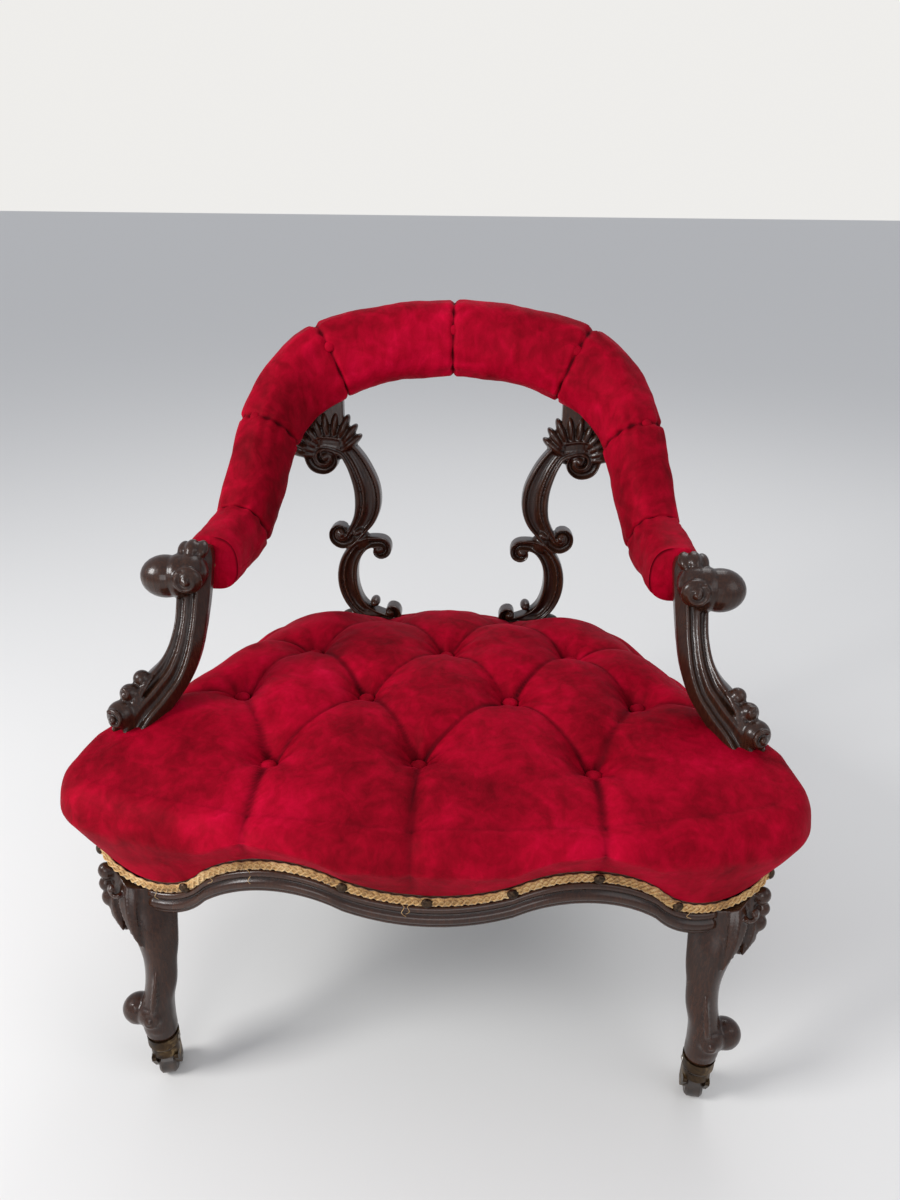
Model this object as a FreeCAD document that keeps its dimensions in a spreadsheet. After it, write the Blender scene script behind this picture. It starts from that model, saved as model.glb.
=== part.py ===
"""Low show-wood chair: open carved frame, buttoned seat, padded hoop back. Millimetres, +Z up, front to -Y."""
import FreeCAD
import Part
import Sketcher
import math
import os
from FreeCAD import Placement, Rotation, Vector

doc = FreeCAD.newDocument("hoop_back_chair")
sheet = doc.addObject("Spreadsheet::Sheet", "Sizes")

# Driving dimensions. The seat datum is a point on the floor at the middle of the seat, and lengths along
# the depth are measured from it, to the front or to the back.
SIZES = (
    ("seat_half", 350, "half the seat's greatest width"),
    ("widest_back", -188, "depth of the widest point"),
    ("front_reach", 290, "seat front at the middle, ahead of the datum"),
    ("shoulder_half", 303, "half width where the front turns into the corner"),
    ("shoulder_reach", 248, "how far that point lies ahead of the datum"),
    ("haunch_half", 218, "half width where the side turns into the back"),
    ("haunch_back", 156, "depth of that point"),
    ("rear_half", 145, "half width of the nearly straight back edge"),
    ("rear_back", 207, "depth of its ends"),
    ("back_reach", 221, "depth of the back edge at the middle"),
    ("crown_height", 368, "top of the stuffing at the middle"),
    ("crown_fall_side", 9, "drop of the crown at the side"),
    ("crown_fall_front", 22, "drop of the crown towards the front"),
    ("crown_fall_back", 30, "drop of the crown towards the back"),
    ("crown_fall_haunch", 16, "further drop of the crown at the rear corners"),
    ("seat_bulge_height", 312, "height of the widest line of the stuffing"),
    ("tuft_depth", 24, "how deep a button is drawn in"),
    ("pleat_depth", 8, "depth of a pleat between two buttons"),
    ("tuft_pitch", 148, "buttons, across"),
    ("row_pitch", 97, "rows of buttons, front to back"),
    ("first_row_reach", 168, "front row of buttons, ahead of the datum"),
    ("seat_button_radius", 8.5, "covered seat button"),
    ("seat_button_rise", 5, "height of a seat button"),
    ("rail_top", 300, "top of the seat rails"),
    ("rail_thick", 34, "thickness of the seat rails"),
    ("lip_thick", 12, "thickness of the show-wood lip below the rail"),
    ("rebate_height", 252, "underside of the rails behind the lip"),
    ("rail_in_front", 28, "front rail's face behind the seat's front"),
    ("rail_in_side", 28, "side rail's face inside the seat's side"),
    ("rail_in_back", 12, "back rail's face inside the seat's back"),
    ("gimp_centre_height", 254, "gimp line at the middle of the front"),
    ("gimp_crest_height", 279, "gimp line at its crests"),
    ("gimp_valley_height", 230, "gimp line at its valleys beside the legs"),
    ("gimp_side_height", 255, "gimp line over the knees and along the sides"),
    ("crest_half", 155, "half spacing of the crests"),
    ("valley_half", 264, "half spacing of the valleys"),
    ("knee_half", 312, "half spacing of the knees"),
    ("show_wood", 23, "show-wood below the gimp's lower edge"),
    ("gimp_width", 10, "gimp braid, width"),
    ("gimp_thick", 2.4, "gimp braid, thickness"),
    ("skirt_slope", 0.95, "rise of the cover's undercut from the gimp, per length outwards"),
    ("nail_head_radius", 5.2, "gimp nail's dome"),
    ("nail_head_rise", 3.2, "height of the dome"),
    ("nail_shank_radius", 0.9, "gimp nail's shank"),
    ("nail_length", 13, "length of the shank"),
    ("nail_pitch", 76, "gimp nails along the braid"),
    ("front_joint_half", 272, "half width of the front rail between its legs"),
    ("front_joint_back", -185, "front end of a side rail"),
    ("rear_joint_half", 165, "half width of the back rail between its legs"),
    ("rear_joint_back", 145, "rear end of a side rail"),
    ("foot_half", 267, "front castor, half spacing"),
    ("foot_reach", 252, "front castor, ahead of the datum"),
    ("heel_half", 200, "rear castor, half spacing"),
    ("heel_back", 250, "rear castor, behind the datum"),
    ("foot_height", 62, "underside of a leg's foot"),
    ("ankle_half", 17.5, "half width of a front leg's ankle"),
    ("rear_leg_half", 19, "half width of a back leg at its top"),
    ("heel_width_half", 15, "half width of a back leg at its foot"),
    ("foot_scroll_radius", 16, "scroll on the outside of a front foot"),
    ("tenon_radius", 12.8, "round end of a leg inside its castor cup"),
    ("tenon_length", 12, "length of that round end"),
    ("cup_radius", 15.5, "castor cup, outside"),
    ("cup_length", 15, "height of the castor cup"),
    ("pivot_radius", 4, "castor pivot"),
    ("pivot_head_radius", 6, "head under the castor pivot"),
    ("pivot_clearance", 0.05, "running clearance of the pivot and of the axle"),
    ("end_clearance", 0.3, "end clearance between moving castor parts"),
    ("castor_trail", 8, "wheel axle behind the castor pivot"),
    ("wheel_radius", 15, "castor wheel"),
    ("wheel_width", 17, "castor wheel"),
    ("wheel_crown", 2.5, "rounding of the wheel's tread"),
    ("axle_radius", 2.5, "castor axle"),
    ("cheek_thick", 4, "cheek of a castor fork"),
    ("fork_crown", 11, "thickness of the fork's crown"),
    ("cup_screw_radius", 1.5, "screw through the cup"),
    ("cup_screw_length", 9, "screw through the cup, length"),
    ("soft_gap", 0.3, "soft parts stay this far off their neighbours"),
    ("dowel_radius", 5, "frame dowel"),
    ("dowel_length", 40, "frame dowel"),
    ("dowel_clearance", 0.1, "radial clearance of a dowel"),
    ("block_leg", 46, "corner block, along a rail"),
    ("block_height", 38, "corner block, height"),
    ("block_screw_radius", 2.2, "corner block screw"),
    ("block_screw_length", 44, "corner block screw"),
    ("web_width", 50, "webbing, width"),
    ("web_thick", 1.5, "webbing, thickness"),
    ("web_pitch_across", 95, "spacing of the webs that run front to back"),
    ("web_pitch_along", 82, "spacing of the webs that run side to side"),
    ("spring_radius", 27, "seat spring, wire centre"),
    ("spring_wire", 1.6, "seat spring, wire radius"),
    ("hessian_thick", 0.8, "hessian and dust cover"),
    ("arm_foot_half", 298, "arm support, half spacing at its foot"),
    ("arm_foot_reach", 148, "arm support's foot, ahead of the datum"),
    ("arm_block", 32, "square block of an arm support inside the stuffing"),
    ("knob_radius", 23.5, "scroll knob of an arm support"),
    ("knob_half", 274, "half spacing of the knobs"),
    ("knob_reach", 67, "knobs, ahead of the datum"),
    ("knob_height", 479, "centre of a knob"),
    ("hoop_end_half", 238, "end of the hoop, half spacing"),
    ("hoop_end_reach", 28, "end of the hoop, ahead of the datum"),
    ("hoop_end_height", 478, "end of the hoop, height"),
    ("hoop_back", 232, "middle of the hoop, behind the datum"),
    ("hoop_height", 669, "middle of the hoop, height"),
    ("hoop_half_tall", 45, "half height of the roll at the back"),
    ("hoop_half_thick", 34, "half thickness of the roll at the back"),
    ("hoop_end_half_tall", 29, "half height of the roll at its ends"),
    ("hoop_end_half_thick", 26, "half thickness of the roll at its ends"),
    ("hoop_lean", 12, "lean of the roll at the back, degrees"),
    ("hoop_pinch", 0.955, "roll at a sewn seam, as a share"),
    ("core_half_tall", 22, "half height of the hoop's timber"),
    ("core_half_thick", 11, "half thickness of the hoop's timber"),
    ("back_button_radius", 7.5, "covered button of the hoop"),
    ("back_button_rise", 4.5, "height of a hoop button"),
    ("splat_back", 190, "splat's middle plane at its foot, behind the datum"),
    ("splat_foot_height", 326, "where the splat leaves the stuffing"),
    ("splat_lean", 4.2, "lean of the splats, degrees"),
    ("splat_thick", 25, "thickness of a splat"),
    ("splat_scroll_proud", 1.5, "scroll ends, proud of the splat's faces"),
)
for line, (alias, value, meaning) in enumerate(SIZES, start=1):
    sheet.set(f"A{line}", meaning)
    sheet.set(f"B{line}", str(value))
    sheet.setAlias(f"B{line}", alias)
doc.recompute()


class Size:
    """A number together with the sheet expression that it comes from."""

    def __init__(self, number, text):
        self.number = number
        self.text = text

    def __add__(self, other):
        other = as_size(other)
        return Size(self.number + other.number, f"({self.text} + {other.text})")

    def __sub__(self, other):
        other = as_size(other)
        return Size(self.number - other.number, f"({self.text} - {other.text})")

    def __mul__(self, other):
        other = as_size(other)
        return Size(self.number * other.number, f"({self.text} * {other.text})")

    def __truediv__(self, other):
        other = as_size(other)
        return Size(self.number / other.number, f"({self.text} / {other.text})")

    def __neg__(self):
        return Size(-self.number, f"(-1 * {self.text})")


def as_size(value):
    return value if isinstance(value, Size) else Size(float(value), str(float(value)))


class SheetSizes:
    """Sizes of the sheet by their aliases: as expressions, or as plain numbers."""

    def __getattr__(self, alias):
        return Size(float(sheet.get(alias)), f"Sizes.{alias}")


class SheetNumbers:
    def __getattr__(self, alias):
        return float(sheet.get(alias))


size = SheetSizes()
mm = SheetNumbers()

# The origin lies under the middle of the whole chair, whose depth runs from the seat's front to the wheels
# of the rear castors, so every piece is moved by this offset of the seat datum.
datum_offset = (mm.front_reach - mm.heel_back - mm.castor_trail - mm.wheel_radius) / 2
DATUM = Placement(Vector(0, datum_offset, 0), Rotation())

nodes = {}
SIDES = (("left", -1), ("right", 1))


def bind(item, name, amount):
    """Give a property of a document object the sheet's expression."""
    item.setExpression(name, as_size(amount).text)


def add_node(name, item):
    item.Label = name
    nodes[name] = item
    return item


def add_shape(name, shape):
    """A node whose free form is made below from the sheet's sizes."""
    item = doc.addObject("Part::Feature", name)
    item.Shape = shape
    item.Placement = DATUM.multiply(item.Placement)
    return add_node(name, item)


def add_group(name, members):
    """Like pieces that share one node."""
    group = doc.addObject("Part::Compound", name)
    group.Links = members
    return add_node(name, group)


def mirrored(shape):
    return shape.mirror(Vector(0, 0, 0), Vector(1, 0, 0))


def on_side(shape, side):
    """A shape made on the +X side, or its mirror image."""
    return mirrored(shape) if side < 0 else shape


def fused(shapes):
    return shapes[0].fuse(shapes[1:]).removeSplitter()


def arc(start, middle, end):
    return Part.Arc(Vector(*start), Vector(*middle), Vector(*end)).toShape()


def line(start, end):
    return Part.LineSegment(Vector(*start), Vector(*end)).toShape()


def bent(start, end, ratio):
    """An arc from start to end that bulges to the right of its way by a share of its length, at one height."""
    run_x = end[0] - start[0]
    run_y = end[1] - start[1]
    middle = ((start[0] + end[0]) / 2 + run_y * ratio, (start[1] + end[1]) / 2 - run_x * ratio, start[2])
    return arc(start, middle, end)


# The seat in plan. Each named point moves in at right angles to the edge there, whose heading is in degrees.
FRONT_HEADING = 14
SIDE_HEADING = 98
HAUNCH_HEADING = 120
REAR_HEADING = 170
CORNER_BULGE = 0.177
LEAST_CORNER = 4.0
SIDE_BULGE = 0.042
HAUNCH_BULGE = 0.11


def moved_in(x, y, heading, inset, z):
    outward = math.radians(heading - 90)
    return (x - inset * math.cos(outward), y - inset * math.sin(outward), z)


def plan_wire(z, front_in, side_in, back_in):
    """The seat's outline at height z, moved in by three insets. A corner too tight for them is left sharp."""
    haunch_in = (side_in + back_in) / 2
    shoulder = moved_in(mm.shoulder_half, -mm.shoulder_reach, FRONT_HEADING, front_in, z)
    widest = moved_in(mm.seat_half, mm.widest_back, SIDE_HEADING, side_in, z)
    haunch = moved_in(mm.haunch_half, mm.haunch_back, HAUNCH_HEADING, haunch_in, z)
    rear = moved_in(mm.rear_half, mm.rear_back, REAR_HEADING, back_in, z)

    def other(point):
        return (-point[0], point[1], z)

    front_middle = (0, front_in - mm.front_reach, z)
    back_middle = (0, mm.back_reach - back_in, z)
    sharp = widest[1] < shoulder[1] + LEAST_CORNER
    if sharp:
        shoulder = widest = ((shoulder[0] + widest[0]) / 2, (shoulder[1] + widest[1]) / 2, z)
    front = [arc(other(shoulder), front_middle, shoulder)]
    right_corner = [] if sharp else [bent(shoulder, widest, CORNER_BULGE)]
    left_corner = [] if sharp else [bent(other(widest), other(shoulder), CORNER_BULGE)]
    rest = [
        bent(widest, haunch, SIDE_BULGE),
        bent(haunch, rear, HAUNCH_BULGE),
        arc(rear, back_middle, other(rear)),
        bent(other(rear), other(haunch), HAUNCH_BULGE),
        bent(other(haunch), other(widest), SIDE_BULGE),
    ]
    return Part.Wire(front + right_corner + rest + left_corner)


def rail_wire(z, outward):
    """The outside of the seat rails, moved outward or, if negative, inward."""
    return plan_wire(z, mm.rail_in_front - outward, mm.rail_in_side - outward, mm.rail_in_back - outward)


def rail_prism(outward, low, high):
    return Part.Face(rail_wire(low, outward)).extrude(Vector(0, 0, high - low))


# Room around the chair for cutting blocks, and where the front's wavy line gives way to the level one.
FAR = 420.0
WAVE_END_BACK = -186.0


def wave_points(shift):
    """Half of the gimp line seen from the front, from the middle outwards, moved up by shift."""
    middle = mm.gimp_centre_height + shift
    crest = mm.gimp_crest_height + shift
    valley = mm.gimp_valley_height + shift
    side = mm.gimp_side_height + shift
    return [
        (0, middle),
        (mm.crest_half / 2, (middle + crest) / 2),
        (mm.crest_half, crest),
        ((mm.crest_half + mm.valley_half) / 2, (crest + valley) / 2),
        (mm.valley_half, valley),
        (mm.knee_half, side),
    ]


def below_line(shift):
    """All that lies under the gimp line, moved up by shift."""
    y = -FAR
    points = [(x, y, z) for x, z in wave_points(shift)]
    start, dip, crest, rise, valley, knee = points

    def other(point):
        return (-point[0], point[1], point[2])

    top_out = (FAR, y, knee[2])
    low_out = (FAR, y, 0)
    edges = [
        line(other(top_out), other(knee)),
        arc(other(knee), other(valley), other(rise)),
        arc(other(rise), other(crest), other(dip)),
        arc(other(dip), start, dip),
        arc(dip, crest, rise),
        arc(rise, valley, knee),
        line(knee, top_out),
        line(top_out, low_out),
        line(low_out, other(low_out)),
        line(other(low_out), other(top_out)),
    ]
    front = Part.Face(Part.Wire(edges)).extrude(Vector(0, FAR + WAVE_END_BACK, 0))
    rest = Part.makeBox(2 * FAR, FAR - WAVE_END_BACK, knee[2], Vector(-FAR, WAVE_END_BACK, 0))
    return front.fuse(rest)


def wave_height(x):
    """Height of the gimp line at x, from the arc that spans it."""
    x = abs(x)
    start, dip, crest, rise, valley, knee = [Vector(px, 0, pz) for px, pz in wave_points(0)]
    if x >= knee.x:
        return knee.z
    if x < dip.x:
        curve = Part.Arc(Vector(-dip.x, 0, dip.z), start, dip)
    elif x < rise.x:
        curve = Part.Arc(dip, crest, rise)
    else:
        curve = Part.Arc(rise, valley, knee)
    probe = Part.makeLine(Vector(x, 0, 0), Vector(x, 0, FAR))
    return curve.toShape().distToShape(probe)[1][0][0].z


# Seat rails: one ring with a shaped show-wood lip, parted at the legs.
rail_bottom_shift = -mm.gimp_width / 2 - mm.show_wood
ring_low = mm.gimp_valley_height + rail_bottom_shift - 5
ring = rail_prism(0, ring_low, mm.rail_top).cut(rail_prism(-mm.rail_thick, ring_low - 1, mm.rail_top + 1))
ring = ring.cut(below_line(rail_bottom_shift))
ring = ring.cut(rail_prism(-mm.lip_thick, ring_low - 1, mm.rebate_height))
ROOM_HEIGHT = 400.0


def region(x_low, x_high, y_low, y_high):
    return Part.makeBox(x_high - x_low, y_high - y_low, ROOM_HEIGHT, Vector(x_low, y_low, 0))


front_part = region(-mm.front_joint_half, mm.front_joint_half, -FAR, mm.front_joint_back)
side_part = region(0, FAR, mm.front_joint_back, mm.rear_joint_back)
back_part = region(-mm.rear_joint_half, mm.rear_joint_half, mm.rear_joint_back, FAR)
front_corner = region(mm.front_joint_half, FAR, -FAR, mm.front_joint_back)
rear_corner = region(mm.rear_joint_half, FAR, mm.rear_joint_back, FAR)


def slice_centre(normal, distance, wanted_sign_y):
    """Middle of the ring's section by a plane, on the side of the chair that the sign picks."""
    for wire in ring.slice(normal, distance):
        centre = Part.Face(wire).CenterOfMass
        if centre.x > 0 and centre.y * wanted_sign_y > 0:
            return centre
    raise ValueError("the ring has no section there")


AXIS_X = Vector(1, 0, 0)
AXIS_Y = Vector(0, 1, 0)
AXIS_Z = Vector(0, 0, 1)
joint_spots = (
    (slice_centre(AXIS_X, mm.front_joint_half, -1), AXIS_X),
    (slice_centre(AXIS_Y, mm.front_joint_back, -1), AXIS_Y),
    (slice_centre(AXIS_X, mm.rear_joint_half, 1), AXIS_X),
    (slice_centre(AXIS_Y, mm.rear_joint_back, 1), AXIS_Y),
)
# Two dowels to a joint, a quarter and three quarters of the way up the rail above its rebate.
rail_depth = mm.rail_top - mm.rebate_height
DOWEL_LEVELS = (mm.rebate_height + rail_depth / 4, mm.rail_top - rail_depth / 4)


def rod(radius, length, centre, direction):
    """A cylinder about its own middle."""
    start = centre - direction * (length / 2)
    return Part.makeCylinder(radius, length, start, direction)


def bound_rod(name, radius, length, centre, direction):
    """The same, as a document object whose sizes follow the sheet."""
    item = doc.addObject("Part::Cylinder", name)
    bind(item, "Radius", radius)
    bind(item, "Height", length)
    start = centre - direction * (as_size(length).number / 2)
    item.Placement = DATUM.multiply(Placement(start, Rotation(AXIS_Z, direction)))
    return item


rail_dowels = []
rail_holes = []
for spot, direction in joint_spots:
    for level in DOWEL_LEVELS:
        for side_name, side in SIDES:
            centre = Vector(spot.x * side, spot.y, level)
            rail_dowels.append(bound_rod("rail_dowel", size.dowel_radius, size.dowel_length, centre, direction))
            hole_radius = mm.dowel_radius + mm.dowel_clearance
            hole_length = mm.dowel_length + 2 * mm.dowel_clearance
            rail_holes.append(rod(hole_radius, hole_length, centre, direction))
rail_holes = Part.makeCompound(rail_holes)
add_group("rail_dowels", rail_dowels)

# Gimp nails: along the front at their pitch, with the third one lost, and evenly along sides and back.
rail_edges = rail_wire(0, 0).Edges
FRONT_NAILS = 9
LOST_NAIL = 2
KNEE_NAIL_BEYOND = 4.0


def rail_point(x):
    """Where the front rail's face stands at x, and the way out of it, the same on both sides."""
    reach = abs(x)
    probe = Part.makeLine(Vector(reach, -FAR, 0), Vector(reach, mm.widest_back, 0))
    nearest = rail_wire(0, 0).distToShape(probe)[1][0][0]
    half_step = 0.5
    beside = Part.makeLine(Vector(reach + half_step, -FAR, 0), Vector(reach + half_step, mm.widest_back, 0))
    ahead = rail_wire(0, 0).distToShape(beside)[1][0][0]
    along = (ahead - nearest).normalize()
    outward = Vector(along.y, -along.x, 0)
    if x < 0:
        return Vector(-nearest.x, nearest.y, 0), Vector(-outward.x, outward.y, 0)
    return nearest, outward


def nail_spots():
    spots = []
    for count in range(FRONT_NAILS):
        x = (count - (FRONT_NAILS - 1) / 2) * mm.nail_pitch
        if abs(x) > mm.valley_half:
            x = math.copysign(mm.knee_half + KNEE_NAIL_BEYOND, x)
        if count != LOST_NAIL:
            point, outward = rail_point(x)
            spots.append((Vector(point.x, point.y, wave_height(x)), outward))
    for edge in rail_edges[2:7]:
        count = max(1, round(edge.Length / mm.nail_pitch))
        for step in range(count):
            share = (step + 0.5) / count
            first, last = edge.ParameterRange
            parameter = first + (last - first) * share
            point = edge.valueAt(parameter)
            along = edge.tangentAt(parameter)
            outward = Vector(along.y, -along.x, 0)
            middle = Vector(0, 0, 0)
            if outward.dot(point - middle) < 0:
                outward = outward * -1
            spots.append((Vector(point.x, point.y, mm.gimp_side_height), outward))
    return spots


NAILS = nail_spots()
gimp_face = mm.soft_gap + mm.gimp_thick
nail_holes = Part.makeCompound([
    rod(mm.nail_shank_radius + 0.1, 2 * mm.nail_length + 2, point, outward) for point, outward in NAILS
])


def nail(point, outward):
    """A domed head on the braid with its shank in the rail."""
    seat = point + outward * (gimp_face + 0.05)
    head = Part.makeSphere(1).transformGeometry(scaled(mm.nail_head_radius, mm.nail_head_radius,
                                                       mm.nail_head_rise))
    head = head.common(Part.makeBox(20, 20, 20, Vector(-10, -10, 0)))
    shank = Part.makeCylinder(mm.nail_shank_radius, mm.nail_length, Vector(0, 0, -mm.nail_length))
    body = head.fuse(shank)
    body.Placement = Placement(seat, Rotation(AXIS_Z, outward))
    return body


def scaled(x, y, z):
    matrix = FreeCAD.Matrix()
    matrix.scale(x, y, z)
    return matrix


add_shape("gimp_nails", Part.makeCompound([nail(point, outward) for point, outward in NAILS]))

# Gimp braid, over the lower edge of the cover, all round the rails.
band = rail_prism(gimp_face, ring_low, mm.rail_top).cut(rail_prism(mm.soft_gap, ring_low - 1, mm.rail_top + 1))
half_braid = mm.gimp_width / 2
gimp = band.common(below_line(half_braid)).cut(below_line(-half_braid)).cut(nail_holes)
add_shape("gimp_braid", gimp)


# Legs
def rounded_square(x, y, z, half_x, half_y, softness):
    """A level section with four flats and four round corners."""
    cut_x = half_x * softness
    cut_y = half_y * softness
    bulge = 0.2
    corners = []
    for sign_x, sign_y in ((1, -1), (1, 1), (-1, 1), (-1, -1)):
        flat_end = (x + sign_x * half_x, y + sign_y * (half_y - cut_y), z)
        flat_start = (x + sign_x * (half_x - cut_x), y + sign_y * half_y, z)
        corners.append((flat_start, flat_end) if sign_x * sign_y < 0 else (flat_end, flat_start))
    edges = []
    for index, (start, end) in enumerate(corners):
        edges.append(bent(start, end, bulge))
        edges.append(line(end, corners[(index + 1) % 4][0]))
    return Part.Wire(edges)


def leg_loft(sections):
    return Part.makeLoft([rounded_square(*section) for section in sections], True, False)


def foot_tenon(x, y):
    """The round end that stands in the castor's cup."""
    low = mm.foot_height - mm.tenon_length
    return Part.makeCylinder(mm.tenon_radius, mm.tenon_length + 1, Vector(x, y, low))


def ball(x, y, z, radius):
    return Part.makeSphere(radius, Vector(x, y, z))


# A front leg from the foot up: centre x, centre y, height, half width, half depth, roundness.
front_sections = (
    (mm.foot_half, -mm.foot_reach, mm.foot_height, 15, 15, 0.55),
    (mm.foot_half + 2, -mm.foot_reach + 2, mm.foot_height + 18, mm.ankle_half - 2, 16.5, 0.5),
    (mm.foot_half + 1, -mm.foot_reach + 5, mm.foot_height + 38, mm.ankle_half - 2, 17, 0.45),
    (mm.foot_half - 3, -mm.foot_reach + 9, mm.foot_height + 60, mm.ankle_half - 2, 17, 0.4),
    (mm.foot_half - 3, -mm.foot_reach + 15, mm.foot_height + 81, mm.ankle_half - 1.5, 18, 0.35),
    (mm.foot_half - 1, -mm.foot_reach + 21, mm.foot_height + 98, mm.ankle_half + 2, 20, 0.35),
    (mm.foot_half + 5, -mm.foot_reach + 28, mm.foot_height + 121, mm.ankle_half + 7.5, 23, 0.35),
    (mm.foot_half + 12, -mm.foot_reach + 34, mm.foot_height + 143, mm.ankle_half + 13, 25, 0.35),
    (mm.foot_half + 15, -mm.foot_reach + 38, mm.foot_height + 168, mm.ankle_half + 16, 26, 0.35),
    (mm.foot_half + 18, -mm.foot_reach + 40, mm.foot_height + 193, mm.ankle_half + 11, 26, 0.35),
)
front_leg = leg_loft(front_sections)
foot_scroll = ball(mm.foot_half + 15, -mm.foot_reach + 12, mm.foot_height + 25, mm.foot_scroll_radius)
toe_scroll = ball(mm.foot_half - 1, -mm.foot_reach - 5, mm.foot_height + 14, mm.foot_scroll_radius - 5)
knee_leaves = [
    ball(mm.knee_half - 3, -mm.foot_reach + 32, mm.foot_height + 171, 12),
    ball(mm.knee_half - 6, -mm.foot_reach + 29, mm.foot_height + 145, 11),
    ball(mm.valley_half + 8, -mm.foot_reach + 16, mm.foot_height + 140, 12),
]
carving = fused([front_leg, foot_scroll, toe_scroll] + knee_leaves)
carving = carving.common(below_line(-half_braid - 3 * mm.soft_gap)).cut(ring.common(front_part))
front_post = ring.common(front_corner)
front_leg = fused([carving, front_post, foot_tenon(mm.foot_half, -mm.foot_reach)])

# A back leg is plain and raked, and leaves the rail's corner for its castor.
corner_x = (mm.rear_joint_half + mm.haunch_half) / 2 - 8
corner_y = (mm.rear_joint_back + mm.rear_back) / 2 - 8
rake_x = mm.heel_half - corner_x
rake_y = mm.heel_back - corner_y
leg_fall = mm.rebate_height + 15 - mm.foot_height


RAKE_BEND = 1.7


def raked(share, half):
    """A section of the back leg, a share of the way down its sabre curve."""
    x = corner_x + rake_x * share
    y = corner_y + rake_y * share ** RAKE_BEND
    z = mm.foot_height + leg_fall * (1 - share)
    return (x, y, z, half, half, 0.25)


rear_step = (mm.rear_leg_half - mm.heel_width_half) / 4
rear_loft = leg_loft([raked(step / 4, mm.rear_leg_half - rear_step * step) for step in (4, 3, 2, 1, 0)])
rear_inside = rear_loft.common(rail_prism(0, ring_low, mm.rail_top))
rear_under = rear_loft.common(below_line(-half_braid - mm.soft_gap))
rear_leg = fused([rear_under, rear_inside, ring.common(rear_corner), foot_tenon(mm.heel_half, mm.heel_back)])
rear_leg = rear_leg.cut([ring.common(back_part), ring.common(side_part)])

# Arm supports: an S-shaped bar from a block in the side rail to the end of the hoop.
ARM_PATH = (
    # x, y, z of the middle of a section, its half width and half depth
    (mm.arm_foot_half, -mm.arm_foot_reach, 340, 20, 18),
    (mm.arm_foot_half - 5, -mm.arm_foot_reach + 6, 356, 23, 20),
    (mm.arm_foot_half - 13, -mm.arm_foot_reach + 15, 369, 24, 20),
    (mm.arm_foot_half - 26, -mm.arm_foot_reach + 29, 383, 24, 19),
    (mm.arm_foot_half - 36, -mm.arm_foot_reach + 42, 396, 21, 18),
    (mm.arm_foot_half - 43, -mm.arm_foot_reach + 56, 411, 18, 17),
    (mm.arm_foot_half - 46, -mm.arm_foot_reach + 72, 430, 16.5, 17),
    (mm.arm_foot_half - 47, -mm.arm_foot_reach + 87, 452, 17, 19),
    (mm.arm_foot_half - 48, -mm.arm_foot_reach + 97, 474, 17, 21),
    (mm.arm_foot_half - 51, -mm.arm_foot_reach + 103, 498, 15, 20),
)


def arm_support(grow):
    """The whole support, or the same made larger all round by grow, to clear the stuffing."""
    sections = [
        (x, y, z, half_x + grow, half_y + grow, 0.45) for x, y, z, half_x, half_y in ARM_PATH
    ]
    bar = leg_loft(sections)
    half = mm.arm_block / 2 + grow
    block_low = mm.rail_top - grow
    block = Part.makeBox(2 * half, 2 * half, 52 + grow,
                         Vector(mm.arm_foot_half + 2 - half, -mm.arm_foot_reach - half, block_low))
    knob = Part.makeSphere(1).transformGeometry(scaled(mm.knob_radius + grow, mm.knob_radius - 1.5 + grow,
                                                       mm.knob_radius + grow))
    knob.translate(Vector(mm.knob_half, -mm.knob_reach, mm.knob_height))
    eye = Part.makeCylinder(13 + grow, 40, Vector(mm.knob_half - 14, -mm.knob_reach - 21, mm.knob_height),
                            AXIS_Y)
    foot = ball(mm.arm_foot_half + 6, -mm.arm_foot_reach - 2, 367, 14 + grow)
    curl = ball(mm.arm_foot_half, -mm.arm_foot_reach + 9, 386, 9.5 + grow)
    upper_curl = ball(mm.arm_foot_half - 11, -mm.arm_foot_reach + 21, 395, 9.5 + grow)
    leaf = ball(mm.hoop_end_half + 5, -mm.hoop_end_reach - 18, 497, 11 + grow)
    return fused([bar, block, knob, eye, foot, curl, upper_curl, leaf])


# The hoop's path: stations on the right half from the arm's end to the middle of the back. A seam is
# sewn across the roll at every other station.
HOOP_HALF = (
    (mm.hoop_end_half, -mm.hoop_end_reach, mm.hoop_end_height),
    (234, 15, mm.hoop_end_height + 2),
    (228, 60, mm.hoop_end_height + 10),
    (218, 104, mm.hoop_end_height + 52),
    (208, 140, mm.hoop_end_height + 97),
    (187, 182, mm.hoop_end_height + 138),
    (145, 208, mm.hoop_height - 20),
    (76, 224, mm.hoop_height - 5),
    (0, mm.hoop_back, mm.hoop_height),
)


def station_frame(index):
    """Place, way along, way out and way up of one station of the hoop's right half."""
    place = Vector(*HOOP_HALF[index])
    before = Vector(*HOOP_HALF[max(index - 1, 0)])
    if index == len(HOOP_HALF) - 1:
        after = Vector(-before.x, before.y, before.z)
    else:
        after = Vector(*HOOP_HALF[index + 1])
    along = (after - before).normalize()
    out = along.cross(AXIS_Z).normalize()
    up = out.cross(along)
    lean = math.radians(mm.hoop_lean) * index / (len(HOOP_HALF) - 1)
    leaned_up = up * math.cos(lean) + out * math.sin(lean)
    leaned_out = out * math.cos(lean) - up * math.sin(lean)
    return place, along, leaned_out, leaned_up


def flipped(vector):
    return Vector(-vector.x, vector.y, vector.z)


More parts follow.
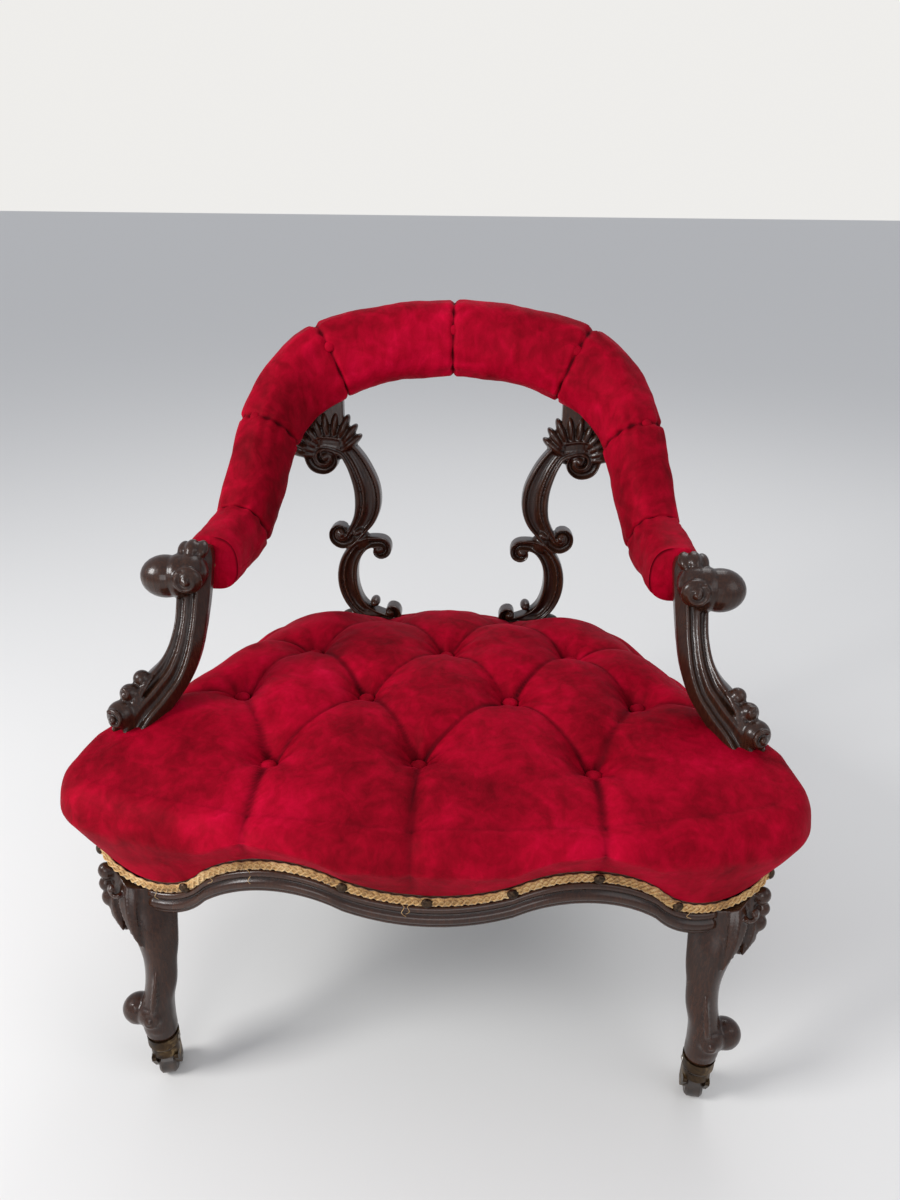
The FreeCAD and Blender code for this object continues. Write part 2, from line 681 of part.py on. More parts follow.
def roll_section(index, flip):
    """The padded roll's section at a station: flatter outside than towards the sitter."""
    place, along, out, up = station_frame(index)
    share = index / (len(HOOP_HALF) - 1)
    pinch = mm.hoop_pinch if index % 2 == 0 and index > 0 else 1.0
    tall = (mm.hoop_end_half_tall + (mm.hoop_half_tall - mm.hoop_end_half_tall) * share) * pinch
    thick = (mm.hoop_end_half_thick + (mm.hoop_half_thick - mm.hoop_end_half_thick) * share) * pinch

    def point(across, rise):
        spot = place + out * (across * thick) + up * (rise * tall)
        return flipped(spot) if flip else spot

    inner = 0.75
    outer = 0.8
    corners = [point(1, 0), point(0, 1), point(-1, 0), point(0, -1)]
    middles = [point(outer, outer), point(-inner, inner), point(-inner, -inner), point(outer, -outer)]
    edges = [
        Part.Arc(corners[turn], middles[turn], corners[(turn + 1) % 4]).toShape() for turn in range(4)
    ]
    return Part.Wire(edges)


def core_section(index, flip, grow):
    """The timber's oblong section at a station."""
    place, along, out, up = station_frame(index)
    corners = []
    for across, rise in ((1, 1), (-1, 1), (-1, -1), (1, -1)):
        spot = place + out * (across * (mm.core_half_thick + grow)) + up * (rise * (mm.core_half_tall + grow))
        corners.append(flipped(spot) if flip else spot)
    return Part.makePolygon(corners + corners[:1])


LAST = len(HOOP_HALF) - 1
SPLICE = 6
right_run = [(index, False) for index in range(LAST + 1)]
left_run = [(index, True) for index in range(LAST - 1, -1, -1)]
whole_run = right_run + left_run


def core_loft(run, grow):
    return Part.makeLoft([core_section(index, flip, grow) for index, flip in run], True, True)


crest_rail = core_loft(whole_run[SPLICE:len(whole_run) - SPLICE], 0)
hoop_side = core_loft(right_run[:SPLICE + 1], 0)
hoop_pad = Part.makeLoft([roll_section(index, flip) for index, flip in whole_run], True, False)
hoop_pad = hoop_pad.cut(core_loft(whole_run, mm.soft_gap))

# Buttons of the hoop, one on each seam: station, and how far round the roll from the sitter's side up.
HOOP_BUTTONS = ((2, 95), (4, 90), (6, 22), (LAST, 12))
BUTTON_RIM = 1.2


def button(radius, rise, place, outward):
    """A covered button: a low dome on a short rim."""
    dome = Part.makeSphere(1).transformGeometry(scaled(radius, radius, rise))
    dome = dome.common(Part.makeBox(60, 60, 60, Vector(-30, -30, 0)))
    body = dome.fuse(Part.makeCylinder(radius, BUTTON_RIM, Vector(0, 0, -BUTTON_RIM)))
    body.Placement = Placement(place, Rotation(AXIS_Z, outward))
    return body


hoop_buttons = []
hoop_pockets = []
for index, turn in HOOP_BUTTONS:
    place, along, out, up = station_frame(index)
    share = index / LAST
    tall = (mm.hoop_end_half_tall + (mm.hoop_half_tall - mm.hoop_end_half_tall) * share) * mm.hoop_pinch
    thick = (mm.hoop_end_half_thick + (mm.hoop_half_thick - mm.hoop_end_half_thick) * share) * mm.hoop_pinch
    across = -math.cos(math.radians(turn))
    rise = math.sin(math.radians(turn))
    outward = (out * (across / thick) + up * (rise / tall)).normalize()
    seat = place + out * (across * thick) + up * (rise * tall) - outward * mm.back_button_rise
    pocket_floor = seat - outward * (BUTTON_RIM + mm.soft_gap)
    for side_name, side in SIDES:
        if index == LAST and side < 0:
            continue
        here = button(mm.back_button_radius, mm.back_button_rise, seat, outward)
        pocket = Part.makeCylinder(mm.back_button_radius + mm.soft_gap, 30, pocket_floor, outward)
        hoop_buttons.append(on_side(here, side))
        hoop_pockets.append(on_side(pocket, side))
hoop_pad = hoop_pad.cut(hoop_pockets)
add_shape("hoop_buttons", Part.makeCompound(hoop_buttons))


# Back splats: drawn flat as seen from the front, x outwards and height above the stuffing, then leaned.
def profile(start, *legs):
    """A closed outline: a leg of two numbers is a straight run, one of four an arc by its middle."""
    here = (start[0], 0, start[1])
    first = here
    edges = []
    for leg in legs:
        there = (leg[-2], 0, leg[-1])
        if len(leg) == 4:
            edges.append(arc(here, (leg[0], 0, leg[1]), there))
        else:
            edges.append(line(here, there))
        here = there
    edges.append(line(here, first))
    return Part.Face(Part.Wire(edges))


def slab(face, thick):
    body = face.extrude(Vector(0, thick, 0))
    body.translate(Vector(0, -thick / 2, 0))
    return body


def scroll_end(x, rise, radius):
    """A rolled scroll end, a little proud of the splat's faces."""
    thick = mm.splat_thick + 2 * mm.splat_scroll_proud
    return Part.makeCylinder(radius, thick, Vector(x, -thick / 2, rise), AXIS_Y)


splat_place = Placement(Vector(0, mm.splat_back, mm.splat_foot_height), Rotation(AXIS_X, -mm.splat_lean))
upper_scroll = profile((156, 229), (124, 219, 103, 184), (87, 145, 102, 104), (130, 100),
                       (117, 128, 121, 155), (132, 178, 158, 182))
lower_scroll = profile((92, 99), (127, 89, 144, 44), (144, 17, 130, -10), (104, -10),
                       (120, 15, 120, 44), (114, 67, 94, 74))
knot = profile((96, 112), (92, 96, 98, 80), (124, 82), (136, 98, 130, 114))
base_strip = profile((76, -13), (120, -13), (120, 4), (98, 8), (76, 11))
fan_leaf = profile((183, 212), (190, 226, 188, 241), (180, 247, 170, 244), (160, 251, 150, 247),
                   (140, 251, 130, 245), (120, 243, 117, 232), (110, 222, 114, 208), (130, 195))
foot_drop = mm.splat_foot_height - mm.rail_top
foot_block = Part.makeBox(32, mm.splat_thick, foot_drop + 4, Vector(105, -mm.splat_thick / 2, -foot_drop - 2))
SPLAT_HEAD = (127, 178, 238, 310)


def splat_head(grow):
    """The plain block that runs up into the roll."""
    x_low, x_high, low, high = SPLAT_HEAD
    half = mm.splat_thick / 2 + grow
    return Part.makeBox(x_high - x_low + 2 * grow, 2 * half, high - low + grow,
                        Vector(x_low - grow, -half, low - grow))


SCROLL_ENDS = ((156, 204, 25), (138, 104, 12.5), (92, 86, 13), (76, -1, 13), (98, 13, 6))
splat = fused(
    [slab(face, mm.splat_thick) for face in (upper_scroll, knot, lower_scroll, base_strip, fan_leaf)]
    + [foot_block, splat_head(0)]
    + [scroll_end(*end) for end in SCROLL_ENDS]
)
splat.Placement = splat_place
level_foot = Part.makeBox(FAR, FAR, mm.rail_top, Vector(0, 0, 0))
splat = splat.cut(level_foot).cut([crest_rail, hoop_side])
splat = max(splat.Solids, key=lambda solid: solid.Volume)
head_room = splat_head(mm.soft_gap)
head_room.Placement = splat_place
hoop_pad = hoop_pad.cut([head_room, mirrored(head_room)])

# The stuffing stands clear of the splats' feet.
foot_rooms = []
for face in (lower_scroll, base_strip):
    room = slab(Part.Face(face.OuterWire.makeOffset2D(mm.soft_gap * 2)), mm.splat_thick + 4 * mm.soft_gap)
    foot_rooms.append(room)
foot_rooms.append(Part.makeBox(34, mm.splat_thick + 1.2, foot_drop + 6,
                               Vector(104, -mm.splat_thick / 2 - 0.6, -foot_drop - 4)))
for x, rise, radius in SCROLL_ENDS[3:]:
    foot_rooms.append(Part.makeCylinder(radius + 0.6, mm.splat_thick + 4.2,
                                        Vector(x, -mm.splat_thick / 2 - 2.1, rise), AXIS_Y))
splat_room = foot_rooms[0].fuse(foot_rooms[1:])
splat_room.Placement = splat_place

# Dowels of the hoop and the splats
end_place, end_along = station_frame(0)[:2]
splice_place, splice_along = station_frame(SPLICE)[:2]
head_dowel_at = Vector(150, mm.splat_back + math.tan(math.radians(mm.splat_lean)) * 296 - 3, 622)
foot_dowel_at = Vector(121, mm.splat_back - 2, mm.rail_top)
arm_dowel_at = Vector(mm.arm_foot_half + 2, -mm.arm_foot_reach, mm.rail_top)
hoop_holes = []
hoop_dowels = []
for place, direction in ((end_place, end_along), (splice_place, splice_along), (head_dowel_at, AXIS_Z),
                         (foot_dowel_at, AXIS_Z), (arm_dowel_at, AXIS_Z)):
    for side_name, side in SIDES:
        here = Vector(place.x * side, place.y, place.z)
        way = Vector(direction.x * side, direction.y, direction.z)
        hoop_dowels.append(bound_rod("hoop_dowel", size.dowel_radius - 1, size.dowel_length - 12, here, way))
        hoop_holes.append(rod(mm.dowel_radius - 1 + mm.dowel_clearance,
                              mm.dowel_length - 12 + 2 * mm.dowel_clearance, here, way))
add_group("hoop_dowels", hoop_dowels)
hoop_holes = Part.makeCompound(hoop_holes)

beyond_end = Part.makeCylinder(200, 200, end_place, end_along)
arm = arm_support(0).cut(beyond_end)
add_shape("crest_rail", crest_rail.cut(hoop_holes))
for side_name, side in SIDES:
    add_shape(f"arm_support_{side_name}", on_side(arm.cut(hoop_holes), side))
    add_shape(f"hoop_side_{side_name}", on_side(hoop_side.cut(hoop_holes), side))
    add_shape(f"back_splat_{side_name}", on_side(splat.cut(hoop_holes), side))
add_shape("hoop_pad", hoop_pad)

# Seat stuffing: an outer form with drawn-in sides, under a crown with its buttons drawn in.
CUSHION_LEVELS = (
    # height and how far the front, sides and back stand in
    (214, 24, 24, 9),
    (240, 22, 22, 8),
    (262, 13, 13, 5),
    (288, 3, 3, 1),
    (mm.seat_bulge_height, 0, 0, 0),
    (mm.seat_bulge_height + 18, 4, 4, 4),
    (mm.seat_bulge_height + 36, 16, 15, 16),
    (mm.crown_height + 12, 42, 40, 38),
)


def outer_form(further_in):
    wires = [
        plan_wire(z, front + further_in, side + further_in, back + further_in)
        for z, front, side, back in CUSHION_LEVELS
    ]
    return Part.makeLoft(wires, True, False, False, 3)


def crown(x, y):
    """Height of the stuffing's top between its buttons."""
    forward = y + 20
    fall = mm.crown_fall_front if forward < 0 else mm.crown_fall_back
    haunch_fall = mm.crown_fall_haunch * (x / 200) ** 2 * max(0.0, forward / 200) ** 2
    return mm.crown_height - mm.crown_fall_side * (x / 300) ** 2 - fall * (forward / 200) ** 2 - haunch_fall


pocket_half = mm.seat_button_radius + 1.5
wide = mm.tuft_pitch
outer_button = 1.4 * wide
ROWS = [row * mm.row_pitch - mm.first_row_reach for row in range(4)]
BUTTON_ROWS = (
    (-wide, 0, wide),
    (-outer_button, -wide / 2, wide / 2, outer_button),
    (-wide, 0, wide),
    (-wide / 2, wide / 2),
)
# Six valleys cross every row: two at each inner button, which part on the way to the next row.
VALLEYS_ODD = (-wide - pocket_half, -wide + pocket_half, -pocket_half, pocket_half, wide - pocket_half,
               wide + pocket_half)
VALLEYS_EVEN = (-outer_button, -wide / 2 - pocket_half, -wide / 2 + pocket_half, wide / 2 - pocket_half,
                wide / 2 + pocket_half, outer_button)
PLEATS_ODD = (-wide - 3, -wide + 3, -3, 3, wide - 3, wide + 3)
PLEATS_EVEN = (-outer_button, -wide / 2 - 4, -wide / 2 + 4, wide / 2 - 4, wide / 2 + 4, outer_button)
LINES = (
    # depth of the line, its valleys, and whether buttons draw it in
    (-mm.front_reach - 40, PLEATS_ODD, False),
    ((ROWS[0] - mm.front_reach) / 2, PLEATS_ODD, False),
    (ROWS[0], VALLEYS_ODD, True),
    (ROWS[1], VALLEYS_EVEN, True),
    (ROWS[2], VALLEYS_ODD, True),
    (ROWS[3], VALLEYS_EVEN, True),
    ((ROWS[3] + mm.back_reach) / 2, PLEATS_EVEN, False),
    (mm.back_reach + 40, PLEATS_EVEN, False),
)
block_half = mm.seat_half + 10


def valley_section(y, valleys, depth):
    """The stuffing's top across the chair: pillows as arcs from valley to valley."""
    low = mm.seat_bulge_height / 2
    points = [(-block_half, crown(block_half, y))]
    points += [(x, crown(x, y) - depth) for x in valleys]
    points += [(block_half, crown(block_half, y))]
    edges = []
    for (x, z), (next_x, next_z) in zip(points, points[1:]):
        middle_x = (x + next_x) / 2
        pillow = next_x - x > 2.2 * pocket_half
        middle_z = crown(middle_x, y) if pillow else (z + next_z) / 2 + 0.6
        edges.append(arc((x, y, z), (middle_x, y, middle_z), (next_x, y, next_z)))
    right = (block_half, y, low)
    left = (-block_half, y, low)
    edges.append(line((block_half, y, points[-1][1]), right))
    edges.append(line(right, left))
    edges.append(line(left, (-block_half, y, points[0][1])))
    return Part.Wire(edges)


def tuft_sections():
    """Sections from the front to the back, close together beside the buttons."""
    sections = []
    for (y, valleys, drawn), (next_y, next_valleys, next_drawn) in zip(LINES, LINES[1:]):
        both = drawn and next_drawn
        for share in (0, 0.12, 0.3, 0.5, 0.7, 0.88) if both else (0, 0.25, 0.6):
            here = [a + (b - a) * share for a, b in zip(valleys, next_valleys)]
            near_first = max(0.0, 1 - share / 0.4) if drawn else 0.0
            near_next = max(0.0, 1 - (1 - share) / 0.4) if next_drawn else 0.0
            depth = mm.pleat_depth + (mm.tuft_depth - mm.pleat_depth) * (near_first ** 1.5 + near_next ** 1.5)
            sections.append(valley_section(y + (next_y - y) * share, here, depth))
    last_y, last_valleys, last_drawn = LINES[-1]
    sections.append(valley_section(last_y, last_valleys, mm.pleat_depth))
    return sections


tufted = Part.makeLoft(tuft_sections(), True, True)


def undercut_section(edge, share):
    """What is cut away under the cover at one station of the rails: from the gimp's top outwards and up."""
    first, last = edge.ParameterRange
    parameter = first + (last - first) * share
    point = edge.valueAt(parameter)
    along = edge.tangentAt(parameter)
    outward = Vector(along.y, -along.x, 0)
    on_wave = point.y < WAVE_END_BACK and point.x < mm.knee_half
    height = (wave_height(point.x) if on_wave else mm.gimp_side_height) + half_braid + 3 * mm.soft_gap
    corners = []
    for reach, z in ((-UNDERCUT_IN, height - UNDERCUT_IN * mm.skirt_slope),
                     (UNDERCUT_OUT, height + UNDERCUT_OUT * mm.skirt_slope), (UNDERCUT_OUT, UNDERCUT_LOW),
                     (-UNDERCUT_IN, UNDERCUT_LOW)):
        corners.append(point + outward * reach + AXIS_Z * z)
    return Part.makePolygon(corners + corners[:1])


UNDERCUT_IN = 4.0
UNDERCUT_OUT = 50.0
UNDERCUT_LOW = 180.0
UNDERCUT_STEPS = (
    # edge of the rails' outline, and the stations along it
    (0, [0.495 + 0.505 * step / 14 for step in range(15)]),
    (1, [step / 8 for step in range(1, 9)]),
    (2, [step / 4 for step in range(1, 5)]),
    (3, [step / 4 for step in range(1, 5)]),
    (4, [0.125, 0.25, 0.375, 0.505]),
)
undercut = Part.makeLoft([
    undercut_section(rail_edges[number], share) for number, shares in UNDERCUT_STEPS for share in shares
], True, True)
pleat_slabs = Part.makeCompound([
    Part.makeBox(4, ROWS[0] + mm.front_reach + 20, ROOM_HEIGHT, Vector(x - 2, -mm.front_reach - 20, 0))
    for x in BUTTON_ROWS[0]
])
PLEAT_GROOVE = 4.0
front_grooves = pleat_slabs.cut(outer_form(PLEAT_GROOVE))
hessian_top = mm.rail_top + mm.hessian_thick
cushion = outer_form(0).common(tufted).cut(front_grooves)
cushion = cushion.cut(rail_prism(mm.soft_gap, 0, hessian_top + mm.soft_gap))
cushion = cushion.cut([undercut, mirrored(undercut)])
arm_room = arm_support(2 * mm.soft_gap)
button_places = []
for y, row in zip(ROWS, BUTTON_ROWS):
    for x in row:
        button_places.append(Vector(x, y, crown(x, y) - mm.tuft_depth))
button_pockets = [
    Part.makeCylinder(mm.seat_button_radius + mm.soft_gap, 60, place - AXIS_Z * (BUTTON_RIM + mm.soft_gap))
    for place in button_places
]
cushion = cushion.cut([arm_room, mirrored(arm_room), splat_room, mirrored(splat_room)] + button_pockets)
add_shape("seat_cushion", cushion)
add_shape("seat_buttons", Part.makeCompound([
    button(mm.seat_button_radius, mm.seat_button_rise, place, AXIS_Z) for place in button_places
]))

# Hessian over the springs, tacked on the rails; the arm blocks and splats stand through it.
HESSIAN_IN = 8.0
hessian = rail_prism(-HESSIAN_IN, mm.rail_top, hessian_top)
for room in (arm_room, splat_room):
    hessian = hessian.cut([room, mirrored(room)])
add_shape("hessian", hessian)

# Webbing under the rails: webs from side to side, and a second layer from front to back below them.
web_top = mm.rebate_height
well = rail_prism(-mm.rail_thick + 14, web_top - 2 * mm.web_thick, web_top)
webs = []
for count in (-1.5, -0.5, 0.5, 1.5):
    webs.append(Part.makeBox(2 * FAR, mm.web_width, mm.web_thick,
                             Vector(-FAR, count * mm.web_pitch_along - mm.web_width / 2 - 20,
                                    web_top - mm.web_thick)))
for count in (-1, 0, 1):
    webs.append(Part.makeBox(mm.web_width, 2 * FAR, mm.web_thick,
                             Vector(count * mm.web_pitch_across - mm.web_width / 2, -FAR,
                                    web_top - 2 * mm.web_thick)))
add_shape("webbing", Part.makeCompound([web.common(well) for web in webs]))

# Dust cover tacked under the webbing, notched round the legs.
dust_top = web_top - 2 * mm.web_thick
dust_cover = rail_prism(-mm.lip_thick - 1, dust_top - mm.hessian_thick, dust_top)
for x, y, radius in ((mm.valley_half + 14, -mm.foot_reach + 40, 58), (corner_x, corner_y, 40)):
    notch = Part.makeCylinder(radius, ROOM_HEIGHT, Vector(x, y, 0))
    dust_cover = dust_cover.cut([notch, mirrored(notch)])
add_shape("dust_cover", dust_cover)


# Seat springs: nine of them from the webbing to the hessian, each drawn as the sleeve that its turns fill.
def seat_spring(x, y):
    foot = Vector(x, y, web_top + 0.1)
    height = mm.rail_top - web_top - 0.2
    sleeve = Part.makeCylinder(mm.spring_radius + mm.spring_wire, height, foot)
    return sleeve.cut(Part.makeCylinder(mm.spring_radius - mm.spring_wire, height, foot))


springs = [
    seat_spring(across * mm.web_pitch_across, along * mm.web_pitch_along - 20)
    for along in (-1.5, -0.5, 0.5) for across in (-1, 0, 1)
]
add_shape("seat_springs", Part.makeCompound(springs))

# Corner blocks behind the legs, glued and screwed between the rails.
block_low = mm.rail_top - 4 - mm.block_height
inside_rails = rail_prism(-mm.rail_thick - 0.2, block_low, block_low + mm.block_height)
blocks = []
block_screws = []
screw_holes = []
for corner, turn in ((Vector(mm.front_joint_half + 10, mm.front_joint_back - 2, 0), 135),
                     (Vector(mm.rear_joint_half + 14, mm.rear_joint_back + 10, 0), 235)):
    way = Vector(math.cos(math.radians(turn)), math.sin(math.radians(turn)), 0)
    body = Part.makeBox(mm.block_leg, 4 * mm.block_leg, mm.block_height, Vector(-8, -2 * mm.block_leg, 0))
    body.Placement = Placement(corner + AXIS_Z * block_low, Rotation(AXIS_Z, turn))
    body = body.common(inside_rails)
    screw_mid = corner + way * (mm.block_leg - 8 - mm.block_screw_length / 2 + 1)
    screw_mid.z = block_low + mm.block_height / 2
    screw = rod(mm.block_screw_radius, mm.block_screw_length, screw_mid, way)
    hole = rod(mm.block_screw_radius + mm.dowel_clearance, mm.block_screw_length + 0.4, screw_mid, way)
    head_at = screw_mid + way * (mm.block_screw_length / 2)
    head = Part.makeCylinder(2 * mm.block_screw_radius, 2, head_at, way)
    for side_name, side in SIDES:
        blocks.append(on_side(body, side))
        block_screws.append(on_side(screw.fuse(head), side))
        screw_holes.append(on_side(hole, side))
screw_holes = Part.makeCompound(screw_holes)
add_shape("corner_blocks", Part.makeCompound(blocks).cut(screw_holes))
add_shape("block_screws", Part.makeCompound(block_screws))

# The rails and legs, with their holes
wood_holes = [rail_holes, hoop_holes, nail_holes, screw_holes]
add_shape("front_rail", ring.common(front_part).cut(wood_holes))
add_shape("back_rail", ring.common(back_part).cut(wood_holes))
side_rail = ring.common(side_part).cut(wood_holes)
for side_name, side in SIDES:
    add_shape(f"side_rail_{side_name}", on_side(side_rail, side))


# Castors
def plane_of(body, role):
    return next(feature for feature in body.Origin.OriginFeatures if feature.Role == role)


def sketch_on(body, name, role, corners):
    """A closed sketch of straight edges whose corners are bound to the sheet, two distances each."""
    sketch = body.newObject("Sketcher::SketchObject", name)
    sketch.AttachmentSupport = [(plane_of(body, role), "")]
    sketch.MapMode = "FlatFace"
    corners = [(as_size(across), as_size(up)) for across, up in corners]
    count = len(corners)
    for index, (across, up) in enumerate(corners):
        next_across, next_up = corners[(index + 1) % count]
        start = Vector(across.number, up.number, 0)
        end = Vector(next_across.number, next_up.number, 0)
        sketch.addGeometry(Part.LineSegment(start, end), False)
    for index in range(count):
        sketch.addConstraint(Sketcher.Constraint("Coincident", index, 2, (index + 1) % count, 1))
    for index, (across, up) in enumerate(corners):
        for kind, axis, amount in (("DistanceX", -2, across), ("DistanceY", -1, up)):
            if amount.number == 0:
                sketch.addConstraint(Sketcher.Constraint("PointOnObject", index, 1, axis))
                continue
            number = sketch.addConstraint(Sketcher.Constraint(kind, -1, 1, index, 1, amount.number))
            sketch.setExpression(f"Constraints[{number}]", amount.text)
    return sketch


def revolved(body, name, corners, axis):
    """A turned body about the sketch's own axis."""
    sketch = sketch_on(body, f"{name}_profile", "XZ_Plane", corners)
    turned = body.newObject("PartDesign::Revolution", name)
    turned.Profile = sketch
    turned.ReferenceAxis = (sketch, [axis])
    turned.Angle = 360
    return turned


def padded(body, name, kind, role, corners, length):
    """A pad or a pocket, half to each side of its plane."""
    sketch = sketch_on(body, f"{name}_profile", role, corners)
    feature = body.newObject(kind, name)
    feature.Profile = sketch
    feature.Midplane = True
    bind(feature, "Length", length)
    return feature


cup_low = size.foot_height - size.cup_length
fork_top = cup_low - size.end_clearance
fork_low = fork_top - size.fork_crown
head_rise = size.end_clearance + 2.2
slot_width = size.wheel_width + size.end_clearance * 2
fork_width = slot_width + size.cheek_thick * 2


def castor_cup(name):
    """Cup, with the pivot riveted through its floor."""
    body = doc.addObject("PartDesign::Body", name)
    head_top = fork_low + head_rise
    head_low = fork_low + size.end_clearance
    inner = size.tenon_radius + size.dowel_clearance
    floor = size.foot_height - size.tenon_length
    revolved(body, f"{name}_turned", [
        (0, head_low), (size.pivot_head_radius, head_low), (size.pivot_head_radius, head_top),
        (size.pivot_radius, head_top), (size.pivot_radius, cup_low), (size.cup_radius - 2, cup_low),
        (size.cup_radius, cup_low + 4), (size.cup_radius, size.foot_height), (inner, size.foot_height),
        (inner, floor), (0, floor),
    ], "V_Axis")
    return body


def castor_fork(name):
    """Crown bored for the pivot, and two cheeks bored for the axle."""
    body = doc.addObject("PartDesign::Body", name)
    bore = size.pivot_radius + size.pivot_clearance
    recess = size.pivot_head_radius + size.end_clearance
    recess_top = fork_low + head_rise + size.end_clearance
    crown_radius = size.cup_radius - 2
    revolved(body, f"{name}_crown", [
        (bore, recess_top), (recess, recess_top), (recess, fork_low), (crown_radius, fork_low),
        (crown_radius, fork_top), (bore, fork_top),
    ], "V_Axis")
    boss = size.axle_radius + 3.5
    padded(body, f"{name}_cheeks", "PartDesign::Pad", "YZ_Plane", [
        (size.castor_trail - boss, size.wheel_radius - 3), (size.castor_trail - 3, size.wheel_radius - boss),
        (size.castor_trail + 3, size.wheel_radius - boss), (size.castor_trail + boss, size.wheel_radius - 3),
        (size.castor_trail + boss, size.wheel_radius + 4), (crown_radius - 2, fork_low + 2),
        (-(crown_radius - 3), fork_low + 2), (-(crown_radius - 3), fork_low - 3),
    ], fork_width)
    top = fork_low + 2
    padded(body, f"{name}_slot", "PartDesign::Pocket", "YZ_Plane", [
        (-size.cup_radius * 2, 1), (size.cup_radius * 3, 1), (size.cup_radius * 3, top),
        (-size.cup_radius * 2, top),
    ], slot_width)
    return body


def castor_wheel(name):
    """Wheel turned about the sketch's level axis, which stands at the axle's height."""
    body = doc.addObject("PartDesign::Body", name)
    bore = size.axle_radius + size.pivot_clearance
    half = size.wheel_width / 2
    rim = size.wheel_radius - size.wheel_crown
    revolved(body, f"{name}_turned", [
        (-half, bore), (half, bore), (half, rim), (half - size.wheel_crown, size.wheel_radius),
        (-half + size.wheel_crown, size.wheel_radius), (-half, rim),
    ], "H_Axis")
    return body


CASTORS = (
    # name, x, y, and how far the fork has swivelled, in degrees
    ("front_left", -mm.foot_half, -mm.foot_reach, 12),
    ("front_right", mm.foot_half, -mm.foot_reach, -8),
    ("rear_left", -mm.heel_half, mm.heel_back, 0),
    ("rear_right", mm.heel_half, mm.heel_back, 0),
)
cup_screws = []
cup_screw_holes = {}
SCREW_HEIGHT = mm.foot_height - mm.tenon_length / 2
for name, x, y, swivel in CASTORS:
    upright = DATUM.multiply(Placement(Vector(x, y, 0), Rotation(AXIS_Z, swivel)))
    cup = castor_cup(f"cup_{name}")
    fork = castor_fork(f"fork_{name}")
    wheel = add_node(f"castor_wheel_{name}", castor_wheel(f"wheel_{name}"))
    wheel.Placement = upright.multiply(Placement(Vector(0, mm.castor_trail, mm.wheel_radius), Rotation()))
    axle = doc.addObject("Part::Cylinder", f"axle_{name}")
    bind(axle, "Radius", size.axle_radius)
    bind(axle, "Height", fork_width + 1)
    half_axle = (fork_width.number + 1) / 2
    axle.Placement = upright.multiply(
        Placement(Vector(-half_axle, mm.castor_trail, mm.wheel_radius), Rotation(AXIS_Z, AXIS_X)))
    add_node(f"castor_axle_{name}", axle)
    bore = doc.addObject("Part::Cylinder", f"axle_bore_{name}")
    bind(bore, "Radius", size.axle_radius + size.pivot_clearance)
    bind(bore, "Height", fork_width * 2)
    bore.Placement = upright.multiply(
        Placement(Vector(-fork_width.number, mm.castor_trail, mm.wheel_radius), Rotation(AXIS_Z, AXIS_X)))
    fork.Placement = upright
    bored = doc.addObject("Part::Cut", f"bored_fork_{name}")
    bored.Base = fork
    bored.Tool = bore
    add_node(f"castor_fork_{name}", bored)
    cup.Placement = DATUM.multiply(Placement(Vector(x, y, 0), Rotation()))
    holes = []
    for way in (AXIS_X, AXIS_X * -1):
        outside = Vector(x, y, SCREW_HEIGHT) + way * (mm.cup_radius + 0.05)
        shank = Part.makeCylinder(mm.cup_screw_radius, mm.cup_screw_length, outside, way * -1)
        head = Part.makeSphere(1).transformGeometry(scaled(2.8, 2.8, 1.3))
        head = head.common(Part.makeBox(8, 8, 8, Vector(-4, -4, 0)))
        head.Placement = Placement(outside, Rotation(AXIS_Z, way))
        cup_screws.append(shank.fuse(head))
        holes.append(Part.makeCylinder(mm.cup_screw_radius + mm.dowel_clearance, mm.cup_screw_length + 0.4,
                                       outside + way * 0.2, way * -1))
    cup_screw_holes[name] = Part.makeCompound(holes)
    drill = doc.addObject("Part::Feature", f"screw_drill_{name}")
    drill.Shape = cup_screw_holes[name]
    drill.Placement = DATUM
    drilled = doc.addObject("Part::Cut", f"drilled_cup_{name}")
    drilled.Base = cup
    drilled.Tool = drill
    add_node(f"castor_cup_{name}", drilled)
add_shape("castor_screws", Part.makeCompound(cup_screws))

for place, leg in (("front", front_leg), ("rear", rear_leg)):
    leg = leg.cut([cup_screw_holes[f"{place}_right"]] + wood_holes)
    for side_name, side in SIDES:
        add_shape(f"{place}_leg_{side_name}", on_side(leg, side))

doc.recompute()
for item in doc.Objects:
    if "Invalid" in item.State or "Error" in item.State:
        raise RuntimeError(f"{item.Name} failed: {item.State}")
os.makedirs("parts", exist_ok=True)
whole = FreeCAD.BoundBox()
for name, item in nodes.items():
    shape = item.Shape
    if shape.isNull() or not shape.isValid() or not shape.Solids:
        raise RuntimeError(f"{name} has no valid solid")
    whole.add(shape.BoundBox)
    shape.exportStep(f"parts/{name}.step")
    print(f"{name}: {len(shape.Solids)} solids, {shape.Volume / 1000:.1f} cm3")
print(f"{len(nodes)} nodes, {whole.XLength:.1f} x {whole.YLength:.1f} x {whole.ZLength:.1f} mm")
print(f"from {whole.XMin:.1f} {whole.YMin:.1f} {whole.ZMin:.1f} to {whole.XMax:.1f} {whole.YMax:.1f} {whole.ZMax:.1f}")
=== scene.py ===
"""Looks of a low show-wood chair with a buttoned velvet seat and a padded hoop back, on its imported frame."""
import bmesh
import bpy
import math
from mathutils import Matrix, Vector, noise


